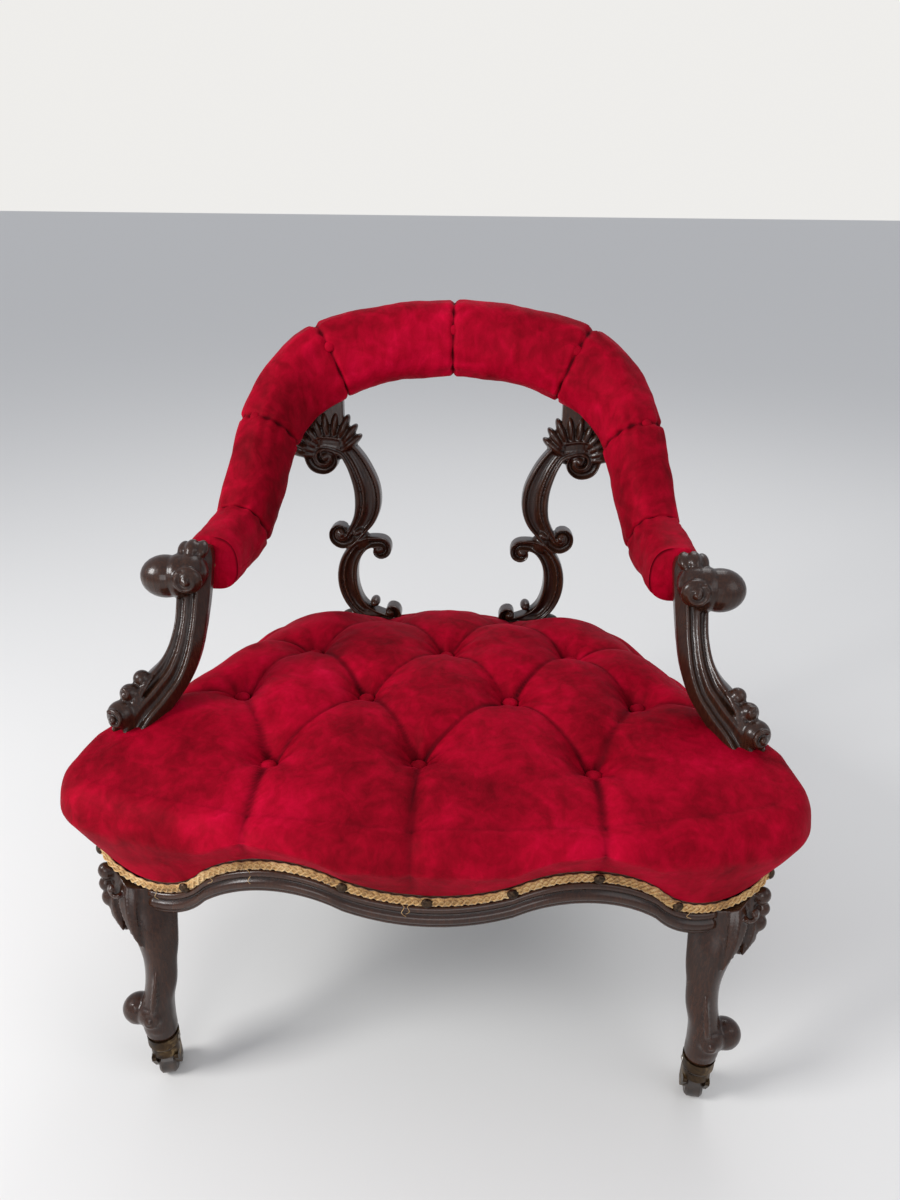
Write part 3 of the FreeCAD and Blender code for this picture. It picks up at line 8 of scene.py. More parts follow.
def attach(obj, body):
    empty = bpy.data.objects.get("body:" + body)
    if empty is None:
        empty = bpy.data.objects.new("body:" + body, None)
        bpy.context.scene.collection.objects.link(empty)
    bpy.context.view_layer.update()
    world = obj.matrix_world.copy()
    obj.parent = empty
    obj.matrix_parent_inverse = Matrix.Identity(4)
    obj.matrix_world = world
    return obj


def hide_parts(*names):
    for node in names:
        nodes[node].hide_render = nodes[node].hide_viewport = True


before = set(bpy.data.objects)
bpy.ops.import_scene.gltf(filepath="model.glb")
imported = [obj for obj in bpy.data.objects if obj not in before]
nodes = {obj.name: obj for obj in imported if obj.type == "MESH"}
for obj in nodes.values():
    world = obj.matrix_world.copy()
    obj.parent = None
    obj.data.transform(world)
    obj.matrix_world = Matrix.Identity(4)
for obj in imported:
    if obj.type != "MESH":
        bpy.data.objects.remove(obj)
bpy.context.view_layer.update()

# The camera stands where the photograph was taken: in front, a little to the right, and looking down.
# Its lens and the three angles were fitted to the chair's own symmetry.
DATUM_BACK = 8.5


def at(x, y, z):
    """A point in millimetres from the seat's datum, in the frame's metres."""
    return Vector((x, y + DATUM_BACK, z)) / 1000


bpy.ops.object.select_all(action="DESELECT")
bpy.ops.object.camera_add(location=at(42.6, -878.3, 835.0))
camera = bpy.context.object
yaw, pitch, roll = (math.radians(angle) for angle in (2.29, 24.712, 0.556))
forward = Vector((-math.sin(yaw) * math.cos(pitch), math.cos(yaw) * math.cos(pitch), -math.sin(pitch)))
level = Vector((math.cos(yaw), math.sin(yaw), 0))
upright = level.cross(forward)
right = level * math.cos(roll) + upright * math.sin(roll)
up = upright * math.cos(roll) - level * math.sin(roll)
camera.rotation_euler = Matrix((right, up, -forward)).transposed().to_euler()
camera.data.sensor_width = 36
camera.data.lens = 26.94
camera.data.clip_start = 0.01
bpy.context.scene.camera = camera

# A plain pale floor, with a soft lamp from the window's side, a weaker one opposite, one behind and one low
# in front. The world is white where the camera or a glass sees it, and gives a gentle light elsewhere.
bpy.context.scene.view_settings.view_transform = "Standard"
# place, strength and size
LAMPS = (((-1.7, -0.9, 1.45), 34, 0.7), ((1.7, -1.1, 1.5), 7, 1.3), ((0.5, 1.5, 2.2), 12, 1.2),
         ((-0.4, -2.4, 0.9), 11, 0.9))
MIDDLE_OF_CHAIR = Vector((0, 0, 0.4))
for spot, energy, size in LAMPS:
    bpy.ops.object.light_add(type="AREA", location=spot)
    lamp = bpy.context.object
    lamp.data.energy = energy
    lamp.data.size = size
    lamp.rotation_euler = (MIDDLE_OF_CHAIR - Vector(spot)).to_track_quat("-Z", "Y").to_euler()
bpy.ops.mesh.primitive_plane_add(size=60)
floor = bpy.context.object
floor.name = "floor"


class Ink:
    """A number or colour on its way through a material: arithmetic on it adds the nodes that work it out."""

    def __init__(self, recipe, socket):
        self.recipe = recipe
        self.socket = socket

    def maths(self, operation, first, second):
        return self.recipe.node("ShaderNodeMath", {"operation": operation}, {0: first, 1: second})

    def __add__(self, other):
        return self.maths("ADD", self, other)

    def __radd__(self, other):
        return self.maths("ADD", other, self)

    def __rsub__(self, other):
        return self.maths("SUBTRACT", other, self)

    def __mul__(self, other):
        return self.maths("MULTIPLY", self, other)

    def __rmul__(self, other):
        return self.maths("MULTIPLY", other, self)


class Recipe:
    """The nodes of one material."""

    def __init__(self, name):
        self.material = bpy.data.materials.new(name)
        self.material.use_nodes = True
        self.tree = self.material.node_tree
        self.tree.nodes.clear()
        self.place = self.node("ShaderNodeTexCoord", output="Object")

    def node(self, kind, settings=None, inputs=None, output=0):
        made = self.tree.nodes.new(kind)
        for name, value in (settings or {}).items():
            if name == "stops":
                ramp = made.color_ramp
                while len(ramp.elements) < len(value):
                    ramp.elements.new(0.5)
                for element, (position, colour) in zip(ramp.elements, value):
                    element.position = position
                    element.color = (*colour, 1)
            else:
                setattr(made, name, value)
        for name, value in (inputs or {}).items():
            if isinstance(value, Ink):
                self.tree.links.new(value.socket, made.inputs[name])
            else:
                made.inputs[name].default_value = value
        return Ink(self, made.outputs[output]) if made.outputs else None

    def stretched(self, scale):
        return self.node("ShaderNodeMapping", {}, {"Vector": self.place, "Scale": scale})

    def clouds(self, scale, detail, rough, warp=0, vector=None):
        return self.node("ShaderNodeTexNoise", {}, {
            "Vector": vector or self.place, "Scale": scale, "Detail": detail, "Roughness": rough,
            "Distortion": warp,
        })

    def ramp(self, amount, stops):
        return self.node("ShaderNodeValToRGB", {"stops": stops}, {"Fac": amount})

    def waves(self, direction, scale, distortion):
        return self.node("ShaderNodeTexWave", {"bands_direction": direction}, {
            "Vector": self.place, "Scale": scale, "Distortion": distortion,
        })

    def mixed(self, share, first, second):
        return self.node("ShaderNodeMix", {"data_type": "RGBA"}, {
            "Factor": share, 6: first, 7: second,
        }, output=2)

    def surface(self, inputs, height=None, depth=0.001, strength=1.0):
        """The finished shader; height, if given, is a bump of that depth in metres."""
        if height is not None:
            inputs["Normal"] = self.node("ShaderNodeBump", {}, {
                "Height": height, "Distance": depth, "Strength": strength,
            })
        shader = self.node("ShaderNodeBsdfPrincipled", {}, inputs)
        self.node("ShaderNodeOutputMaterial", {}, {"Surface": shader})
        return self.material


def shade(names, material):
    """Give the frame's nodes of these names their finish."""
    for name in names:
        slots = nodes[name].data.materials
        slots.clear()
        slots.append(material)


pale = Recipe("pale_floor")
floor.data.materials.append(pale.surface({"Base Color": (0.76, 0.75, 0.73, 1), "Roughness": 0.9}))
world = bpy.data.worlds.new("studio")
world.use_nodes = True
bpy.context.scene.world = world
tree = world.node_tree
tree.nodes.clear()
path = tree.nodes.new("ShaderNodeLightPath")
seen = tree.nodes.new("ShaderNodeMath")
seen.operation = "MAXIMUM"
tree.links.new(path.outputs["Is Camera Ray"], seen.inputs[0])
tree.links.new(path.outputs["Is Transmission Ray"], seen.inputs[1])
soft = tree.nodes.new("ShaderNodeBackground")
soft.inputs["Color"].default_value = (0.9, 0.93, 1, 1)
soft.inputs["Strength"].default_value = 0.62
bright = tree.nodes.new("ShaderNodeBackground")
bright.inputs["Color"].default_value = (0.86, 0.85, 0.83, 1)
either = tree.nodes.new("ShaderNodeMixShader")
tree.links.new(seen.outputs[0], either.inputs[0])
tree.links.new(soft.outputs[0], either.inputs[1])
tree.links.new(bright.outputs[0], either.inputs[2])
tree.links.new(either.outputs[0], tree.nodes.new("ShaderNodeOutputWorld").inputs["Surface"])

# The seat rails are beech under the cover, but all four take the dark polished finish here; the front lip is
# run with a moulding of two beads and a hollow. The moulding follows the rail's wavy lower edge from leg to
# leg.
FRONT_CORNER = (303, -248)
WIDEST = (350, -188)
HAUNCH = (218, 156)
REAR = (145, 207)
HEADINGS = (14, 98, 120, 170)
FRONT_REACH = 290
BACK_REACH = 221
CORNER_BOW = 0.177
SIDE_BOW = 0.042
REAR_BOW = 0.11
FACE_INSET = 28
BACK_INSET = 12
FRONT_STEPS = 140
GIMP_MIDDLE = (0, 254)
GIMP_TURN = (77.5, 266.5)
GIMP_CREST = (155, 279)
GIMP_DIP = (209.5, 254.5)
GIMP_VALLEY = (264, 230)
GIMP_SIDE = (312, 255)
LEVEL_BEHIND = -186
MOULDING_END = 270
MOULDING = ((-1.0, -5.5), (2.2, -6.0), (3.6, -8.0), (3.8, -10.5), (2.4, -12.6), (1.0, -13.6), (1.4, -15.2),
            (3.6, -16.4), (5.0, -19.0), (5.0, -22.0), (4.2, -24.0), (2.6, -25.0), (3.4, -26.4), (2.6, -28.4),
            (-1.0, -28.6))
walnut = Recipe("polished_walnut")
lines = walnut.clouds(9, 6, 0.62, 0.6, walnut.stretched((60, 60, 9)))
patches = walnut.clouds(14, 3, 0.5, 0.2)
# From the mesh's curvature: the hollows and creases of the carving get painted shade, and the sharpest ridges
# get the lighter worn colour.
edge_wear_and_hollow_shade = walnut.node("ShaderNodeNewGeometry", output="Pointiness")
edges = walnut.ramp(edge_wear_and_hollow_shade, [(0.44, (0.0, 0.0, 0.0)), (0.5, (0.42, 0.42, 0.42)), (0.58, (1.0, 1.0, 1.0))])
grain = walnut.ramp(lines, [
    (0.30, (0.007, 0.0026, 0.0016)), (0.47, (0.019, 0.0066, 0.0034)), (0.60, (0.040, 0.0135, 0.006)),
    (0.74, (0.072, 0.024, 0.0105)),
])
worn = walnut.ramp(patches, [(0.35, (0.095, 0.034, 0.016)), (0.7, (0.042, 0.016, 0.0085))])
# Painted shade: the grain is mixed halfway towards near-black in the hollows, less on open faces and not at
# all on the ridges.
grain_with_painted_shade = walnut.mixed(0.5 * (1 - edges), grain, (0.004, 0.0025, 0.002, 1))
polished = walnut.surface({
    "Base Color": walnut.mixed(edges * 0.36, grain_with_painted_shade, worn), "Roughness": 0.18 + patches * 0.2,
    "Coat Weight": 0.22, "Coat Roughness": 0.14, "Specular IOR Level": 0.28,
}, lines * 0.6 + patches * 0.4, 0.0004, 0.5)
beech = Recipe("plain_beech")
streaks = beech.clouds(7, 5, 0.6, 0.4, beech.stretched((12, 60, 60)))
plain_wood = beech.surface({
    "Base Color": beech.ramp(streaks, [(0.3, (0.20, 0.11, 0.055)), (0.7, (0.42, 0.27, 0.14))]),
    "Roughness": 0.55 + streaks * 0.2,
}, streaks, 0.0003, 0.5)
shade(["front_rail", "side_rail_left", "side_rail_right", "back_rail"], polished)
shade(["crest_rail", "hoop_side_left", "hoop_side_right", "hoop_dowels", "rail_dowels", "corner_blocks"],
      plain_wood)


def bow(start, end, ratio, count):
    """Points on an arc that bulges to the right of its way by a share of its length, without the last."""
    run = Vector(end) - Vector(start)
    outward = Vector((run.y, -run.x)).normalized()
    rise = ratio * run.length
    radius = (run.length ** 2 / 4 + rise ** 2) / (2 * rise)
    centre = (Vector(start) + Vector(end)) / 2 - outward * (radius - rise)
    half = math.asin(min(1.0, run.length / 2 / radius))
    points = []
    for step in range(count):
        angle = -half + 2 * half * step / count
        along = run.normalized() * (radius * math.sin(angle))
        points.append(centre + outward * (radius * math.cos(angle)) + along)
    return points


def moved_in(point, heading, inset):
    """The point moved in by the inset, square to the outline's heading there."""
    outward = math.radians(heading - 90)
    return (point[0] - inset * math.cos(outward), point[1] - inset * math.sin(outward))


def plan_ring(front_in, side_in, back_in):
    """The seat's outline, moved in: 420 points from the front's left end round to the right."""
    haunch_in = (side_in + back_in) / 2
    corner, widest, haunch, rear = (
        moved_in(point, heading, inset) for point, heading, inset in zip(
            (FRONT_CORNER, WIDEST, HAUNCH, REAR), HEADINGS, (front_in, side_in, haunch_in, back_in))
    )
    front_rise = (corner[1] + FRONT_REACH - front_in) / (2 * corner[0])
    back_rise = (BACK_REACH - back_in - rear[1]) / (2 * rear[0])

    def other(point):
        return (-point[0], point[1])

    return (bow(other(corner), corner, front_rise, FRONT_STEPS) + bow(corner, widest, CORNER_BOW, 20)
            + bow(widest, haunch, SIDE_BOW, 76) + bow(haunch, rear, REAR_BOW, 20)
            + bow(rear, other(rear), back_rise, 48) + bow(other(rear), other(haunch), REAR_BOW, 20)
            + bow(other(haunch), other(widest), SIDE_BOW, 76)
            + bow(other(widest), other(corner), CORNER_BOW, 20))


def arc_height(x, first, middle, last):
    """Height at x of the arc through three points."""
    (ax, az), (bx, bz), (cx, cz) = first, middle, last
    double = 2 * (ax * (bz - cz) + bx * (cz - az) + cx * (az - bz))
    a, b, c = ax**2 + az**2, bx**2 + bz**2, cx**2 + cz**2
    centre_x = (a * (bz - cz) + b * (cz - az) + c * (az - bz)) / double
    centre_z = (a * (cx - bx) + b * (ax - cx) + c * (bx - ax)) / double
    radius = math.hypot(ax - centre_x, az - centre_z)
    reach = math.sqrt(max(0.0, radius**2 - (x - centre_x) ** 2))
    return centre_z + (reach if bz > centre_z else -reach)


def gimp_height(x, y):
    """The wavy line of the cover's lower edge at the front; it runs level round the sides and back."""
    x = abs(x)
    if y > LEVEL_BEHIND or x > GIMP_SIDE[0]:
        return float(GIMP_SIDE[1])
    if x < GIMP_TURN[0]:
        return arc_height(x, (-GIMP_TURN[0], GIMP_TURN[1]), GIMP_MIDDLE, GIMP_TURN)
    if x < GIMP_DIP[0]:
        return arc_height(x, GIMP_TURN, GIMP_CREST, GIMP_DIP)
    return arc_height(x, GIMP_DIP, GIMP_VALLEY, GIMP_SIDE)


def drawn(name, points, faces):
    """A mesh object from points in millimetres and faces, with its faces turned outwards."""
    mesh = bpy.data.meshes.new(name)
    mesh.from_pydata([tuple(point) for point in points], [], faces)
    work = bmesh.new()
    work.from_mesh(mesh)
    bmesh.ops.recalc_face_normals(work, faces=work.faces)
    work.to_mesh(mesh)
    work.free()
    mesh.shade_smooth()
    piece = bpy.data.objects.new(name, mesh)
    bpy.context.collection.objects.link(piece)
    return piece


def lofted(name, rings, closed=False):
    """A skin over rings of as many points each, with both ends shut unless it closes on itself."""
    count = len(rings[0])
    points = [point for ring in rings for point in ring]
    faces = []
    spans = len(rings) if closed else len(rings) - 1
    for row in range(spans):
        base = row * count
        ahead = ((row + 1) % len(rings)) * count
        for column in range(count):
            beside = (column + 1) % count
            faces.append((base + column, base + beside, ahead + beside, ahead + column))
    if not closed:
        last = (len(rings) - 1) * count
        faces.append(tuple(range(count - 1, -1, -1)))
        faces.append(tuple(range(last, last + count)))
    return drawn(name, points, faces)


def to_frame(piece):
    """From millimetres at the seat's datum to the frame's metres."""
    piece.data.transform(Matrix.Scale(0.001, 4) @ Matrix.Translation((0, DATUM_BACK, 0)))
    return piece


def fitted(piece, material, slot, *replaced):
    """The piece with its finish, on the chair's body, standing for the frame's nodes of those names."""
    piece.data.materials.clear()
    piece.data.materials.append(material)
    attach(piece, "chair")
    if replaced:
        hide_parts(*replaced)
    return piece


face_line = plan_ring(FACE_INSET, FACE_INSET, BACK_INSET)
rings = []
for index in range(1, FRONT_STEPS):
    x, y = face_line[index]
    if abs(x) > MOULDING_END:
        continue
    outward = (face_line[index + 1] - face_line[index - 1]).normalized()
    outward = Vector((outward.y, -outward.x))
    rise = gimp_height(x, y)
    rings.append([Vector((x + outward.x * d, y + outward.y * d, rise + z)) for d, z in MOULDING])
moulding = to_frame(lofted("rail_moulding", rings))
fitted(moulding, polished, "show_wood")


# Both front legs are carved cabriole legs in the same wood. A leaf hangs from each knee, with curled lobes
# down its outer edge, and the foot rolls outwards into a scroll above the castor's cup.
def eased(stations, per_span):
    """A smooth run through stations of any numbers each."""
    run = []
    last = len(stations) - 1
    for index in range(last):
        a, b, c, d = (stations[max(0, min(last, index + shift))] for shift in (-1, 0, 1, 2))
        for step in range(per_span):
            t = step / per_span
            run.append(tuple(
                0.5 * (2 * q + (r - p) * t + (2 * p - 5 * q + 4 * r - s) * t * t
                       + (3 * q - p - 3 * r + s) * t**3)
                for p, q, r, s in zip(a, b, c, d)
            ))
    run.append(tuple(stations[last]))
    return run


def swept(name, stations, profile, depth_way, per_span):
    """A bar along stations (x, y, z, half width, half depth); its profile's second number faces depth_way."""
    run = eased(stations, per_span)
    places = [Vector(station[:3]) for station in run]
    rings = []
    for index, place in enumerate(places):
        along = (places[min(index + 1, len(places) - 1)] - places[max(index - 1, 0)]).normalized()
        depth = (depth_way - along * depth_way.dot(along)).normalized()
        across = along.cross(depth)
        half_across, half_depth = run[index][3:5]
        rings.append([place + across * (a * half_across) + depth * (b * half_depth) for a, b in profile])
    return lofted(name, rings)


def joined(name, parts):
    """The parts as one object, at the place of the first."""
    bpy.ops.object.select_all(action="DESELECT")
    for part in parts:
        part.select_set(True)
    bpy.context.view_layer.objects.active = parts[0]
    bpy.ops.object.join()
    piece = bpy.context.object
    piece.name = name
    return piece


def squared(angle, power):
    """A point on a round section; the higher the power, the squarer it is, and below two it has an arris."""
    c, s = math.cos(angle), math.sin(angle)
    return math.copysign(abs(c) ** (2 / power), c), math.copysign(abs(s) ** (2 / power), s)


def knob(x, y, z, half_x, half_y=None, half_z=None, turn=(0, 0, 0)):
    """A rounded lump of carving."""
    bpy.ops.object.select_all(action="DESELECT")
    bpy.ops.mesh.primitive_uv_sphere_add(segments=24, ring_count=14, location=(x, y, z),
                                         rotation=tuple(math.radians(angle) for angle in turn))
    piece = bpy.context.object
    piece.scale = (half_x, half_y or half_x, half_z or half_x)
    bpy.ops.object.transform_apply(location=True, rotation=True, scale=True)
    return piece


ROUND = [(math.cos(math.radians(30 * step)), math.sin(math.radians(30 * step))) for step in range(12)]


def curl(centre, facing, radius, turns, start, thick, rise, way):
    """A spiral ridge that winds in to its eye, rising towards it. It faces the way given."""
    facing = facing.normalized()
    side = Vector((0, 0, 1)).cross(facing).normalized()
    over = facing.cross(side)
    stations = []
    steps = int(10 * turns)
    for step in range(steps + 1):
        share = step / steps
        angle = math.radians(start) + way * 2 * math.pi * turns * share
        reach = radius * (1 - 0.86 * share ** 0.8)
        spot = Vector(centre) + side * (reach * math.cos(angle)) + over * (reach * math.sin(angle))
        spot += facing * (rise * share)
        half = thick * (1 - 0.5 * share)
        stations.append((*spot, half, half))
    spiral = swept("curl", stations, ROUND, facing, 3)
    eye = knob(*(Vector(centre) + facing * rise), thick * 1.15)
    return [spiral, eye]


def carved(name, parts, detail, relax):
    """The parts made one piece of wood, at that size of detail in millimetres, with its edges eased."""
    piece = joined(name, parts)
    solid = piece.modifiers.new("solid", "REMESH")
    solid.mode = "VOXEL"
    solid.voxel_size = detail
    solid.use_smooth_shade = True
    rubbed = piece.modifiers.new("rubbed", "SMOOTH")
    rubbed.factor = 0.5
    rubbed.iterations = relax
    bpy.ops.object.modifier_apply(modifier="solid")
    bpy.ops.object.modifier_apply(modifier="rubbed")
    piece.data.shade_smooth()
    return piece


def pair(piece, name):
    """The piece on the right and its mirror image on the left."""
    piece.name = f"{name}_right"
    twin = piece.copy()
    twin.data = piece.data.copy()
    twin.name = f"{name}_left"
    bpy.context.collection.objects.link(twin)
    twin.data.transform(Matrix.Scale(-1, 4, (1, 0, 0)))
    twin.data.flip_normals()
    return {"right": piece, "left": twin}


LEG_STATIONS = (
    # x, y, z, half width, half depth, and how round the section is
    (267, -252, 61, 13.4, 13.4, 2.0), (268, -251, 66, 15.5, 15.0, 2.2), (269, -250, 80, 15.5, 16, 2.4),
    (268, -247, 100, 15.0, 17, 2.2), (264, -243, 122, 15.5, 17, 1.8), (264, -237, 143, 16, 18, 1.7),
    (266, -231, 160, 19.5, 20, 1.6), (272, -223, 183, 25, 22, 1.6), (279, -213, 205, 30.5, 24, 1.7),
    (282, -205, 226, 33, 25, 1.9), (284, -199, 242, 30, 25, 2.2),
)
LEG_UNDER_GIMP = 6.5
rings = []
for x, y, z, half_x, half_y, power in eased(LEG_STATIONS, 6):
    section = [squared(2 * math.pi * step / 40, power) for step in range(40)]
    rings.append([Vector((x + a * half_x, y + b * half_y, z)) for a, b in section])
parts = [lofted("leg_body", rings)]
parts += [knob(288, -248, 88, 17, 15, 16.5), knob(272, -256, 90, 15, 13, 15),
          knob(268, -255, 74, 13.5, 12, 9)]
parts += curl((271, -267, 91), Vector((-0.1, -1, 0.2)), 9.5, 1.3, 80, 2.2, 2, 1)
parts += curl((291, -257, 88), Vector((0.35, -1, 0.15)), 12.5, 1.4, 100, 2.6, 3, -1)
parts += curl((300, -232, 226), Vector((0.55, -1, 0.25)), 9, 1.1, 200, 2.6, 4, 1)
for x, y, z, size in ((311, -219, 236, 8), (313, -220, 221, 7), (310, -222, 206, 8.5), (303, -226, 192, 7),
                      (296, -230, 180, 5.5)):
    parts.append(knob(x, y, z, size, size * 0.9, size * 1.15, (0, 20, 0)))
LEAF = ((1, 0), (0.55, 0.42), (0.25, 0.62), (0, 1), (-0.25, 0.62), (-0.55, 0.42), (-1, 0), (-0.5, -0.5),
        (0.5, -0.5))
for stations in (
    ((288, -226, 236, 4, 2), (288, -233, 220, 10, 4), (286, -240, 203, 9, 4), (281, -246, 186, 5, 3),
     (276, -249, 170, 1, 1)),
    ((298, -224, 224, 4, 2), (304, -227, 210, 7, 4), (302, -232, 195, 6, 4), (295, -238, 180, 2, 2)),
    ((309, -212, 240, 3, 3), (313, -212, 224, 6, 5), (310, -216, 206, 6, 5), (303, -222, 190, 4, 4),
     (294, -229, 176, 1, 1)),
    ((268, -266, 96, 2, 2), (266, -266, 110, 4, 3), (264, -262, 126, 3.5, 2.5), (263, -256, 142, 1, 1)),
):
    parts.append(swept("leaf", stations, LEAF, Vector((0.1, -1, 0.2)), 5))
front_leg = carved("front_leg", parts, 1.5, 3)
for corner in front_leg.data.vertices:
    corner.co.z = min(corner.co.z, gimp_height(corner.co.x, corner.co.y) - LEG_UNDER_GIMP)
to_frame(front_leg)
for side, piece in pair(front_leg, "carved_front_leg").items():
    fitted(piece, polished, "show_wood", f"front_leg_{side}")
shade(["rear_leg_left", "rear_leg_right"], polished)

# Arm supports: each is one carved piece. A reeded S-shaped bar climbs from a scroll on the stuffing's corner
# to a stout rolled knob with a spiral on its face, and a curled leaf crowns it under the padding's end.
REEDED = []
for step in range(25):
    a = 1 - step / 12
    REEDED.append((a, 0.84 * (1 - abs(a) ** 5) + 0.17 * math.cos(3 * math.pi * a) * (1 - abs(a) ** 4) - 0.1))
for step in range(1, 12):
    a = -1 + step / 6
    REEDED.append((a, -0.12 - 0.86 * math.sqrt(1 - a ** 4)))
ARM_STATIONS = (
    (299, -148, 344, 20, 18), (293, -142, 357, 22, 19), (285, -133, 369, 22, 19), (273, -120, 382, 21, 18),
    (262, -106, 395, 19, 17.5), (255, -92, 411, 17, 17), (252, -76, 430, 16, 17), (251, -62, 452, 16.5, 18.5),
    (250, -52, 474, 17, 20), (247, -46, 494, 15.5, 19), (246, -44, 504, 12, 16),
)
parts = [swept("arm_bar", ARM_STATIONS, REEDED, Vector((0.18, -1, 0.1)), 6)]
parts += [knob(274, -66, 479, 25.5, 21, 22), knob(260, -66, 480, 16, 21.5, 22.5),
          knob(250, -62, 484, 17, 22, 19)]
parts += curl((247, -86, 482), Vector((-0.16, -1, 0.14)), 12.5, 1.5, 60, 2.6, 5, -1)
parts += [knob(247, -82, 482, 14.5, 7, 14.5)]
for x, y, z, size in ((257, -53, 503, 6.5), (248, -56, 506, 7), (239, -53, 504, 6.5)):
    parts.append(knob(x, y, z, size, 11, size * 0.9, (25, 0, 0)))
parts += [knob(303, -150, 369, 14, 13.5, 14), knob(297, -139, 386, 9.5), knob(288, -127, 396, 8.5)]
parts += curl((305, -163, 370), Vector((0.35, -1, 0.15)), 10.5, 1.4, 40, 2.4, 2.5, 1)
parts += curl((299, -146, 388), Vector((0.5, -1, 0.2)), 6.5, 1.1, 60, 2.0, 2, 1)
for stations in (
    ((276, -126, 400, 1, 1), (284, -137, 390, 4, 3), (292, -149, 377, 4.5, 3), (296, -158, 362, 3, 2)),
    ((268, -120, 396, 1, 1), (277, -134, 382, 4.5, 3), (284, -146, 368, 5, 3), (288, -154, 354, 3, 2)),
    ((262, -112, 390, 1, 1), (268, -126, 376, 4, 3), (274, -138, 362, 4, 3), (278, -146, 350, 3, 2)),
):
    parts.append(swept("leaf", stations, LEAF, Vector((0.2, -1, 0.5)), 5))
arm = to_frame(carved("arm_support", parts, 1.3, 3))
for side, piece in pair(arm, "carved_arm_support").items():
    fitted(piece, polished, "show_wood", f"arm_support_{side}")

# Back splats: two C-scrolls one above the other, hollowed between raised edges and rolled up at their ends,
# carved alike on both faces. A fan of ribs crowns each, below the plain block that is tenoned into the hoop.
SCROLLED = [(1.0, 0.0), (1.0, 0.55), (0.96, 0.86), (0.87, 1.0), (0.76, 0.97), (0.70, 0.76), (0.60, 0.55),
            (0.40, 0.44), (0.18, 0.42), (-0.02, 0.48), (-0.18, 0.62), (-0.26, 0.80), (-0.34, 0.84),
            (-0.42, 0.72), (-0.50, 0.60), (-0.60, 0.74), (-0.70, 0.94), (-0.82, 1.0), (-0.94, 0.84),
            (-1.0, 0.55), (-1.0, 0.0)]
SCROLLED += [(a, -b) for a, b in reversed(SCROLLED[1:-1])]
SPLAT_DEPTH = 12.6
SPLAT_FOOT = (0, 190, 326)
SPLAT_RAKE = -4.2
RIBS = 10


def wound(centre, turns):
    """Stations of a scroll end in the splat's plane: (angle, reach, half width) about its centre."""
    u, v = centre
    return [(u + reach * math.cos(math.radians(angle)), v + reach * math.sin(math.radians(angle)), half)
            for angle, reach, half in turns]


UPPER = wound((157, 204), ((-340, 3, 2.6), (-290, 5, 3.4), (-240, 7.5, 4.2), (-190, 10, 5.0),
                           (-140, 12.5, 6.0), (-90, 14.5, 7.0), (-40, 16.5, 8.0), (10, 17.5, 8.6),
                           (55, 17.5, 9.0), (100, 17, 9.4)))
UPPER += [(133, 215, 11), (121, 201, 13), (112, 183, 15), (106, 164, 16.5), (105, 145, 16.5),
          (109, 128, 14.5), (118, 113, 11)]
UPPER += wound((139, 106), ((222, 12.5, 8.0), (270, 12, 7.4), (320, 11, 6.6), (10, 10, 5.8), (60, 8.4, 5.0),
                            (110, 6.6, 4.2), (170, 4.6, 3.4), (230, 2.6, 2.6)))
LOWER = wound((91, 86), ((420, 2.6, 2.4), (365, 4.4, 3.2), (310, 6.2, 4.0), (255, 8.0, 4.8), (200, 9.4, 5.6),
                         (145, 10.2, 6.2), (95, 10.2, 6.6)))
LOWER += [(108, 94, 8), (121, 84, 10), (130, 68, 12), (133, 48, 13), (130, 28, 12.6), (121, 10, 11),
          (106, -2, 9)]
LOWER += wound((78, 0), ((-60, 10.5, 6.6), (-110, 10.2, 6.2), (-160, 9.4, 5.6), (-210, 8, 4.8), (-265, 6, 4),
                         (-320, 4, 3), (-370, 2.4, 2.4)))
parts = []
for scroll in (UPPER, LOWER):
    stations = [(u, 0, v, half, SPLAT_DEPTH) for u, v, half in scroll]
    parts.append(swept("scroll", stations, SCROLLED, Vector((0, -1, 0)), 5))
for u, v, size in ((157, 204, 7), (139, 106, 6.5), (91, 86, 6.5), (78, 0, 6), (98, 13, 6.4)):
    parts.append(knob(u, 0, v, size, SPLAT_DEPTH + 2, size))
parts.append(knob(114, 0, 96, 13, SPLAT_DEPTH - 1, 13))
parts.append(knob(118, 0, 108, 9, SPLAT_DEPTH + 0.5, 5, (0, 30, 0)))
for rib in range(RIBS):
    angle = 8 + rib * 15
    sine, cosine = math.sin(math.radians(angle)), math.cos(math.radians(angle))
    reach = 33 + 7 * sine ** 3 - 3 * max(0, rib - 7)
    parts.append(knob(150 + 1.05 * reach * cosine, 0, 203 + reach * sine, 5.8, SPLAT_DEPTH + 1.6, 19,
                      (0, 90 - angle, 0)))
parts.append(knob(150, 0, 222, 34, SPLAT_DEPTH - 2.5, 24))
parts.append(knob(112, 0, -6, 30, SPLAT_DEPTH - 2, 9))
parts = [carved("splat", parts, 1.15, 2)]
for corner_u, corner_v, half_u, half_v in ((155, 262, 22, 42), (119, -21, 13, 12)):
    bpy.ops.mesh.primitive_cube_add(size=2, location=(corner_u, 0, corner_v))
    block = bpy.context.object
    block.scale = (half_u, SPLAT_DEPTH - 5, half_v)
    bpy.ops.object.transform_apply(location=True, rotation=True, scale=True)
    eased_edge = block.modifiers.new("eased", "BEVEL")
    eased_edge.width = 1.2
    eased_edge.segments = 3
    bpy.ops.object.modifier_apply(modifier="eased")
    parts.append(block)
splat = joined("splat", parts)
splat.data.transform(Matrix.Translation(SPLAT_FOOT) @ Matrix.Rotation(math.radians(SPLAT_RAKE), 4, "X"))
to_frame(splat)
for side, piece in pair(splat, "carved_splat").items():
    fitted(piece, polished, "show_wood", f"back_splat_{side}")

